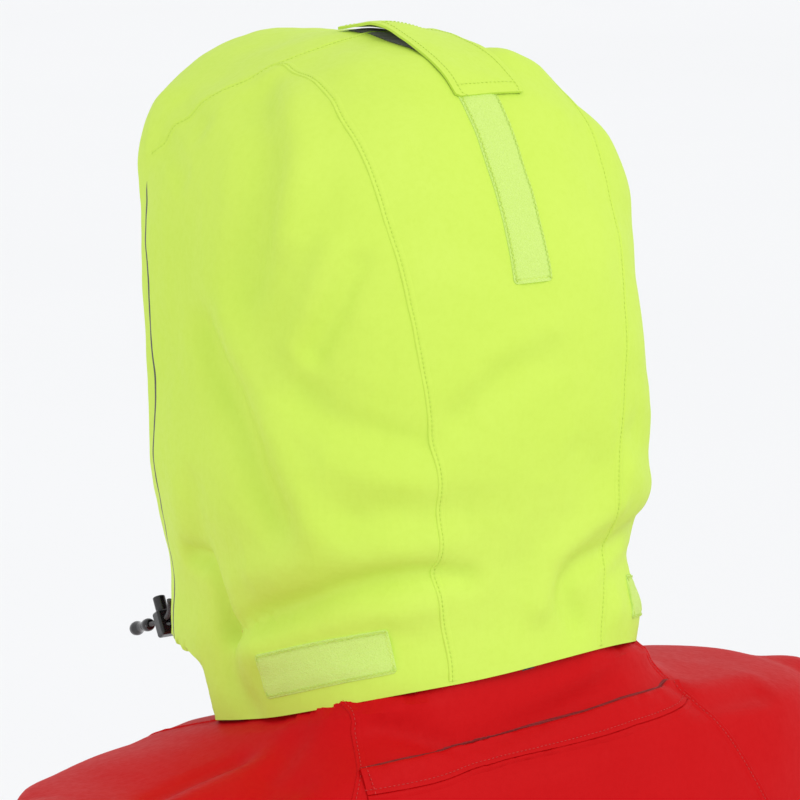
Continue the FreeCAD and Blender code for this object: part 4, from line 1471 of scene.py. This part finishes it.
ALL_ROUND = np.linspace(0, 2 * math.pi, 120, endpoint=False)
for side, sign in (("left", 1), ("right", -1)):
    arm = "sleeve_" + side
    runs = np.linspace(BAND_START, BAND_END, 12)
    outer = arm_grid(sign, runs, ALL_ROUND, band_height)
    inner = arm_grid(sign, runs, ALL_ROUND, lambda run, turn: -0.3)
    place(tube("sleeve_band_" + side, outer, inner), silver_tape, arm, ["sleeve_band_" + side], "silver_band")
    rows = []
    for run in (BAND_START + 2.2, BAND_END - 2.2):
        rows.append(arm_grid(sign, [run], np.append(ALL_ROUND, 0.0), lambda run, turn: 0.95)[0])
    stitches("sleeve_band_stitches_" + side, rows, grey_thread, "silver_band", arm)
    runs = np.linspace(SLEEVE_RUN - 8, SLEEVE_RUN + CUFF_LONG, 40)
    outer = arm_grid(sign, runs, ALL_ROUND, cuff_height)
    inner = arm_grid(sign, runs, ALL_ROUND, lambda run, turn: cuff_height(run, turn) - 2.2)
    place(tube("cuff_" + side, outer, inner), red_cloth, arm, ["cuff_" + side], "shell_red")
    rows = []
    for run in (SLEEVE_RUN - 5, SLEEVE_RUN + CUFF_LONG - 7, SLEEVE_RUN + CUFF_LONG - 10):
        rows.append(arm_grid(sign, [run], np.append(ALL_ROUND, 0.0), lambda r, t: cuff_height(r, t) + 0.2)[0])
    stitches("cuff_stitches_" + side, rows, red_thread, "shell_red", arm)
    turns = np.radians(np.linspace(10, 88, 40))
    runs = SLEEVE_RUN + np.linspace(16, 46, 18)
    top = rounded_end(arm_grid(sign, runs, turns, cuff_tab_height(sign, 2.0)), turns)
    low = rounded_end(arm_grid(sign, runs, turns, cuff_tab_height(sign, 0.4)), turns)
    tab_name = "cuff_tab_" + side
    place(slab(tab_name, top, low), red_cloth, tab_name, [tab_name], "shell_red")
    middle = (ARM_START + ARM_WAY * (SLEEVE_RUN + 31)) * (sign, 1, 1)
    over = top + unit(top - middle) * 0.2
    rows = [over[2, 1:-2], over[-3, 1:-2], over[2:-2, -4], over[2:-2, 2]]
    stitches("cuff_tab_stitches_" + side, rows, red_thread, "shell_red", tab_name)


# ---------------------------------------------------------------- collar
def collar_grid(inset, rises, turns):
    """Points of the stand-up collar: rows by rise above the neck seam, columns round the neck."""
    half_at = Smooth([-20, 15, 120], [116.0, 111.5, 106.0])
    back_at = Smooth([-20, 15, 120], [86.5, 81.5, 78.0])
    grid = np.zeros((len(rises), len(turns), 3))
    for i, rise in enumerate(rises):
        half, back = float(half_at(rise)) - inset, float(back_at(rise)) - inset
        cosine, sine = np.cos(turns), np.sin(turns)
        depth = np.where(sine > 0, back + 8, 96.9 - inset)
        x = half * np.sign(cosine) * np.abs(cosine) ** (2 / 2.1)
        y = -8 + depth * np.sign(sine) * np.abs(sine) ** (2 / 2.1)
        y = y + np.clip(-y / 100, 0, 1) * FRONT_SLOPE * rise
        wave = 0.8 * np.sin(turns * 7) * rise / 86 + 0.5 * np.sin(turns * 13 + 1)
        x, y = x * (1 - 0.006 * wave), y * (1 - 0.006 * wave)
        grid[i] = np.stack([x, y, NECK_TILT * (y - NECK_BACK) + rise], 1)
    return grid


OPEN_AT = math.radians(85.9)
round_neck = np.linspace(-OPEN_AT, math.pi + OPEN_AT, 150)
rises = np.concatenate([np.linspace(-3, 80, 30), [83.5, 85.4, 86.0]])
edge_in = np.concatenate([np.zeros(30), [0.25, 0.7, 1.5]])
COLLAR_THICK = 3.0
outer = np.stack([collar_grid(inset, [rise], round_neck)[0] for rise, inset in zip(rises, edge_in)])
inner = np.stack([collar_grid(COLLAR_THICK - inset, [rise], round_neck)[0]
                  for rise, inset in zip(rises, edge_in)])
collar = slab("collar", outer, inner)
place(collar, red_cloth, "jacket", ["collar_back", "collar_left", "collar_right"], "shell_red", angle=60)
rows = []
for rise in (78.0, 6.0):
    rows.append(collar_grid(-0.2, [rise], round_neck[2:-2])[0])
    rows.append(collar_grid(3.2, [rise], round_neck[2:-2])[0])
stitches("collar_stitches", rows, red_thread, "shell_red")
FLEECE_OPEN_AT = math.radians(83.8)
fleece_round = np.linspace(-FLEECE_OPEN_AT, math.pi + FLEECE_OPEN_AT, 150)
fleece_rises = np.linspace(4, 83, 44)
outer = collar_grid(3.4, fleece_rises, fleece_round)
inner = collar_grid(5.7, fleece_rises, fleece_round)
inner += (wave_noise(inner.reshape(-1, 3), 5.0, 31) * 0.35)[:, None].reshape(44, 150, 1)
place(slab("collar_lining", outer, inner), fleece_cloth, "jacket", ["collar_lining"], "fleece", angle=70)


def hang_loop():
    """A folded tape loop inside the back of the neck, its ends sewn under the collar."""
    turn = np.linspace(0, 2 * math.pi, 60, endpoint=False)
    wide = np.linspace(79.7, 87.3, 5)
    outer = np.zeros((5, 60, 3))
    inner = np.zeros((5, 60, 3))
    for i, y in enumerate(wide):
        for grid, radius in ((outer, 12.4), (inner, 11.15)):
            grid[i] = np.stack([radius * np.cos(turn), np.full(60, y), -21 + radius * np.sin(turn)], 1)
    place(tube("hang_loop", outer, inner), zip_cloth, "jacket", ["hang_loop"], "zip_tape")


hang_loop()


# ---------------------------------------------------------------- front: zip, flap
def front_slab(name, across, heights, depth_top, depth_low):
    """A closed sheet in the front frame: depths are functions of (across, height)."""
    a, s = np.meshgrid(across, heights)
    top = on_front(np.stack([a, depth_top(a, s), s], -1)).reshape(*a.shape, 3)
    low = on_front(np.stack([a, depth_low(a, s), s], -1)).reshape(*a.shape, 3)
    return slab(name, top, low)


ZIP_MID, ZIP_LOW, ZIP_TOP = 4.0, -792.0, 16.0
for side, sign in (("left", 1), ("right", -1)):
    across = sign * np.array([3.5, 3.7, 5.2, 5.4, 9.0, 13.3, 13.5])
    bead = np.array([0.2, 0.75, 0.75, 0.4, 0.4, 0.4, 0.2])
    heights = np.linspace(ZIP_LOW, ZIP_TOP, 120)
    tape = front_slab("zip_tape_" + side, across, heights, lambda a, s: ZIP_MID - bead[None] + 0 * s,
                      lambda a, s: ZIP_MID + bead[None] + 0 * s)
    place(tape, zip_cloth, "jacket", ["zip_tape_" + side], "zip_tape")
    start = ZIP_LOW + 11.5 + (1.25 if sign > 0 else 0.0)
    line = on_front([(sign * 1.95, ZIP_MID, s) for s in (start, ZIP_TOP - 1)])
    teeth = repeated("zip_teeth_" + side, tooth_nodes, [line], zip_plastic, 2.5, 4.4, 2.7, 1.7)
    place(teeth, zip_plastic, "jacket", ["zip_teeth_" + side], "zip_plastic", angle=30)

FLAP_LOW, FLAP_TOP = -775.0, -74.0
FLAP_FREE, FLAP_SEWN = -28.0, 40.0
FLAP_FACE = -7.1
flap_across = np.concatenate([[FLAP_FREE, FLAP_FREE + 0.4], np.linspace(FLAP_FREE + 1.6, FLAP_SEWN - 1.6, 26),
                              [FLAP_SEWN - 0.4, FLAP_SEWN]])
flap_heights = np.concatenate([[FLAP_LOW, FLAP_LOW + 0.5], np.linspace(FLAP_LOW + 1.6, FLAP_TOP - 1.6, 170),
                               [FLAP_TOP - 0.5, FLAP_TOP]])


FLAP_ROWS = (FLAP_FREE + 3.5, FLAP_SEWN - 4.5)


def flap_swell(a, s):
    """How the storm flap's face departs from flat: soft waves, sunken stitch rows, rounded edges."""
    points = np.stack([a.ravel() * 1.0, 0 * a.ravel(), s.ravel()], 1)
    soft = wave_noise(points * (1, 1, 0.5), 46, 41).reshape(a.shape) * 0.35
    channel = -0.35 * sum(np.exp(-((a - row) / 0.9) ** 2) for row in FLAP_ROWS)
    near = np.minimum(np.minimum(a - FLAP_FREE, FLAP_SEWN - a), np.minimum(s - FLAP_LOW, FLAP_TOP - s))
    rounded = -0.9 * np.clip(1 - near / 1.4, 0, 1) ** 2
    return soft + channel + rounded


def flap_line(a, s):
    """A stitch row on the storm flap."""
    a, s = np.broadcast_arrays(np.asarray(a, float), np.asarray(s, float))
    return on_front(np.stack([a, FLAP_FACE - flap_swell(a, s) - 0.15, s], 1))


flap = front_slab("storm_flap", flap_across, flap_heights, lambda a, s: FLAP_FACE - flap_swell(a, s),
                  lambda a, s: -4.85 + 0 * a + np.minimum(flap_swell(a, s), 0) * 0.5)
place(flap, red_cloth, "storm_flap", ["storm_flap"], "shell_red", angle=60)
flap_rows = [flap_line(row, np.linspace(FLAP_LOW + 4, FLAP_TOP - 4, 200)) for row in FLAP_ROWS]
flap_rows += [flap_line(np.linspace(*FLAP_ROWS, 40), height) for height in (FLAP_LOW + 4, FLAP_TOP - 4)]
stitches("storm_flap_stitches", flap_rows, red_thread, "shell_red", "storm_flap")
root_across = np.concatenate([[31, 31.4], np.linspace(33, 45, 7), [46.6, 47]])
flap_root = front_slab("storm_flap_root", root_across, np.linspace(FLAP_LOW, FLAP_TOP, 120),
                       lambda a, s: -4.3 + 3.2 * step(41, 47, a), lambda a, s: 0.6 + 0 * a)
place(flap_root, red_cloth, "jacket", ["storm_flap_root"], "shell_red", angle=60)


# ---------------------------------------------------------------- pockets
POCKET_IN, POCKET_OUT, POCKET_LOW, POCKET_TOP = 66.0, 190.0, -720.0, -560.0
LID_IN, LID_OUT, LID_LOW, LID_TOP = 63.0, 193.0, -601.0, -543.0
LID_THICK = 1.7
BEFORE_FRONT = -320.0


def on_front_cloth(sign, xs, zs):
    """Places on the front of the jacket, straight behind points seen from the front."""
    starts = np.stack([sign * xs, np.full(len(xs), BEFORE_FRONT), zs], 1)
    return jacket.shoot(starts, (0, 1, 0))


def pocket_grid(sign, xs, zs, height):
    """Rows of points over the front, a height above its cloth: height is a function of x and z."""
    grid = np.zeros((len(zs), len(xs), 3))
    for i, z in enumerate(zs):
        level = np.full(len(xs), z)
        base = on_front_cloth(sign, xs, level)
        _, way = jacket.drop(base)
        grid[i] = base + way * height(xs, level)[:, None]
    return grid


def dense_edges(low, high, count, soft):
    """Places from low to high, with extra ones close to both ends."""
    return np.concatenate([[low, low + 0.4], np.linspace(low + soft, high - soft, count), [high - 0.4, high]])


def pocket_puff(x, z):
    """How far the pocket's cloth stands off: a full middle, flat sewn edges."""
    near = np.minimum(np.minimum(x - POCKET_IN, POCKET_OUT - x), np.minimum(z - POCKET_LOW, POCKET_TOP - z))
    edge = 1.0 + 1.0 * step(0, 1.2, near)
    body = 6.8 * step(5, 40, near)
    folds = 0.8 * np.sin((x - 0.35 * z) / 17.0) * step(10, 40, near)
    return edge + body + folds + 0.9 * step(5, 8, near)


def lid(x, z):
    """The pocket flap's height: clear of the full pocket, with a rounded edge."""
    near = np.minimum(np.minimum(x - LID_IN, LID_OUT - x), z - LID_LOW)
    return 14.9 + 0.4 * np.sin(x / 13.0) * step(0, 20, near) - 0.9 * (1 - step(0, 1.4, near))


def lid_root(x, z):
    """The sewn root of a pocket flap climbs from the jacket to the flap's height."""
    return 0.6 + 14.2 * (1 - step(LID_TOP + 0.4, LID_TOP + 14, z)) ** 0.8 + 0 * x


def three_sides(sign, near_x, far_x, low, top, count, height):
    """A stitch row down one side, along the bottom and up the other side of a pocket or flap."""
    ring = [(near_x, z) for z in np.linspace(top, low, count)]
    ring += [(x, low) for x in np.linspace(near_x, far_x, 50)][1:]
    ring += [(far_x, z) for z in np.linspace(low, top, count)][1:]
    xs, zs = np.array(ring).T
    return jacket.lay(on_front_cloth(sign, xs, zs), height(xs, zs) + 0.2)


for side, sign in (("left", 1), ("right", -1)):
    xs = dense_edges(POCKET_IN, POCKET_OUT, 44, 1.4)
    zs = dense_edges(POCKET_LOW, POCKET_TOP, 54, 1.4)
    top = pocket_grid(sign, xs, zs, pocket_puff)
    low = pocket_grid(sign, xs, zs, lambda x, z: 0.2 + 0 * x)
    place(slab("pocket_" + side, top, low), red_cloth, "jacket", ["pocket_" + side], "shell_red", angle=60)
    rows = []
    for inset in (3.0, 6.0):
        near_x, far_x = POCKET_IN + inset, POCKET_OUT - inset
        rows.append(three_sides(sign, near_x, far_x, POCKET_LOW + inset, POCKET_TOP - 3, 60, pocket_puff))
    stitches("pocket_stitches_" + side, rows, red_thread, "shell_red")

    flap_name = "pocket_flap_" + side
    xs = dense_edges(LID_IN, LID_OUT, 40, 1.4)
    zs = dense_edges(LID_LOW, LID_TOP, 26, 1.4)
    top = pocket_grid(sign, xs, zs, lid)
    low = pocket_grid(sign, xs, zs, lambda x, z: lid(x, z) - LID_THICK)
    place(slab(flap_name, top, low), red_cloth, flap_name, [flap_name], "shell_red", angle=60)
    rows = []
    for inset in (3.0, 6.0):
        rows.append(three_sides(sign, LID_IN + inset, LID_OUT - inset, LID_LOW + inset, LID_TOP - 2, 24, lid))
    stitches("pocket_flap_stitches_" + side, rows, red_thread, "shell_red", flap_name)

    zs = np.linspace(LID_TOP + 0.4, LID_TOP + 17, 14)
    top = pocket_grid(sign, xs, zs, lid_root)
    low = pocket_grid(sign, xs, zs, lambda x, z: np.maximum(lid_root(x, z) - LID_THICK, -0.2))
    root = slab("pocket_flap_root_" + side, top, low)
    place(root, red_cloth, "jacket", slot="shell_red", angle=60)


# ---------------------------------------------------------------- hardware carried over from the CAD
def dress(finish, *names):
    """A CAD node keeps its shape and gets its finish."""
    for name in names:
        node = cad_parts[name]
        node.data.materials.clear()
        node.data.materials.append(finish)


for side in ("left", "right"):
    dress(lock_plastic, "cord_lock_" + side, "lock_button_" + side)
dress(zip_metal, "zip_slider", "zip_pull")
dress(zip_plastic, "zip_box")


CORD_LONG, CORD_THICK = 0.045, 0.0028
CORD_ROUTE = [(102.0, -117.0, 1.5), (97.5, -120.0, -13.0), (94.0, -150.5, -21.0)]


def cord_tip(title, sign):
    """The glossy dog-bone on the cord's end: a turned shape with a waist."""
    run = unit(np.array([-3.5, -30.5, -11.0]))
    start = np.array(CORD_ROUTE[-1]) + run * 0.2
    shape = [(0, 1.6), (0.3, 2.6), (1.6, 3.4), (3.6, 3.8), (5.8, 3.7), (8.0, 3.2), (11.0, 2.8), (14.0, 2.9),
             (17.0, 3.6), (20.0, 4.2), (22.4, 4.0), (24.2, 2.9), (25.0, 1.4)]
    radius = Smooth(*zip(*shape))
    across = unit(np.cross(run, (0, 0, 1.0)))
    upward = np.cross(across, run)
    turn = np.linspace(0, 2 * math.pi, 32, endpoint=False)
    circle = across[None] * np.cos(turn)[:, None] + upward[None] * np.sin(turn)[:, None]
    rings = []
    for along in np.concatenate([[0, 0.15, 0.3], np.linspace(0.8, 24.0, 44), [24.5, 24.8, 25.0]]):
        rings.append(start + run * along + circle * float(radius(along)))
    name = "cord_end_" + title
    return place(lofted(name, np.array(rings) * (sign, 1, 1)), end_plastic, "jacket", [name], "end_plastic")


def adjuster_cord(title, sign, tip):
    """The elastic cord from the hood's edge through its lock to its end piece."""
    data = bpy.data.curves.new("hood_cord_" + title, "CURVE")
    data.dimensions = "3D"
    data.bevel_depth = CORD_THICK / 2
    data.bevel_resolution = 6
    data.use_fill_caps = True
    spline = data.splines.new("NURBS")
    spline.points.add(len(CORD_ROUTE) - 1)
    for point, (x, y, z) in zip(spline.points, CORD_ROUTE):
        point.co = (sign * x * MM, y * MM, z * MM, 1)
    spline.order_u = 3
    spline.use_endpoint_u = True
    spline.resolution_u = 24
    data.materials.append(cord_braid)
    obj = linked("adjuster_cord_" + title, data)
    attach(obj, "jacket")
    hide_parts("hood_cord_" + title)


for side, sign in (("left", 1), ("right", -1)):
    adjuster_cord(side, sign, cord_tip(side, sign))


# ---------------------------------------------------------------- stage
FLOOR_REACH = 40000.0


def studio():
    """A pale matt floor that runs out of sight, under an even pale sky."""
    floor_z = cad_box[0][2] / MM - 1
    corners = [(-1, -1), (1, -1), (1, 1), (-1, 1)]
    places = [(x * FLOOR_REACH, y * FLOOR_REACH, floor_z) for x, y in corners]
    floor = new_object("floor", places, [(0, 1, 2, 3)])
    finish = Finish("pale_floor")
    tone = finish.mix(finish.noise(0.6, 2.0), (0.860, 0.865, 0.872), (0.880, 0.885, 0.892))
    floor.data.materials.append(finish.surface(tone, 0.9, **{"Specular IOR Level": 0.1}))
    world = bpy.data.worlds.new("studio")
    bpy.context.scene.world = world
    world.use_nodes = True
    sky = world.node_tree.nodes["Background"]
    sky.inputs["Color"].default_value = (0.985, 0.99, 1.0, 1)
    sky.inputs["Strength"].default_value = 0.92


def lamp(name, kind, where, aim, energy, spread):
    """A sun whose spread is its angle in degrees, or a square lamp whose spread is its side."""
    light = bpy.data.lights.new(name, kind)
    light.energy = energy
    if kind == "AREA":
        light.size = spread
    else:
        light.angle = math.radians(spread)
    obj = linked(name, light)
    obj.location = where
    obj.rotation_euler = (Vector(aim) - Vector(where)).to_track_quat("-Z", "Y").to_euler()


studio()
VIEW_TURN, VIEW_RISE, VIEW_GAP = math.radians(145), math.radians(11), 2.0
away = Vector((math.sin(VIEW_TURN) * math.cos(VIEW_RISE), -math.cos(VIEW_TURN) * math.cos(VIEW_RISE),
               math.sin(VIEW_RISE)))
level_right = Vector((math.cos(VIEW_TURN), math.sin(VIEW_TURN), 0))
up = Vector((0, 0, 1))
aim = level_right * -0.0198 + up * 0.124
lamp("overhead", "SUN", away * 1.2 + level_right + up * 1.5, (0, 0, 0), 0.66, 34)
lamp("key", "AREA", aim + away * 1.4 + level_right * 1.4 + up * 0.35, aim, 5, 0.9)
lamp("fill", "AREA", aim + away * 0.9 - level_right * 1.6 - up * 0.8, aim, 5, 0.9)
lens = bpy.data.cameras.new("camera")
lens.lens = 163.6
lens.sensor_width = 36
camera = linked("camera", lens)
camera.location = aim + away * VIEW_GAP
camera.rotation_euler = (-away).to_track_quat("-Z", "Y").to_euler()
bpy.context.scene.camera = camera
bpy.context.scene.view_settings.view_transform = "Standard"
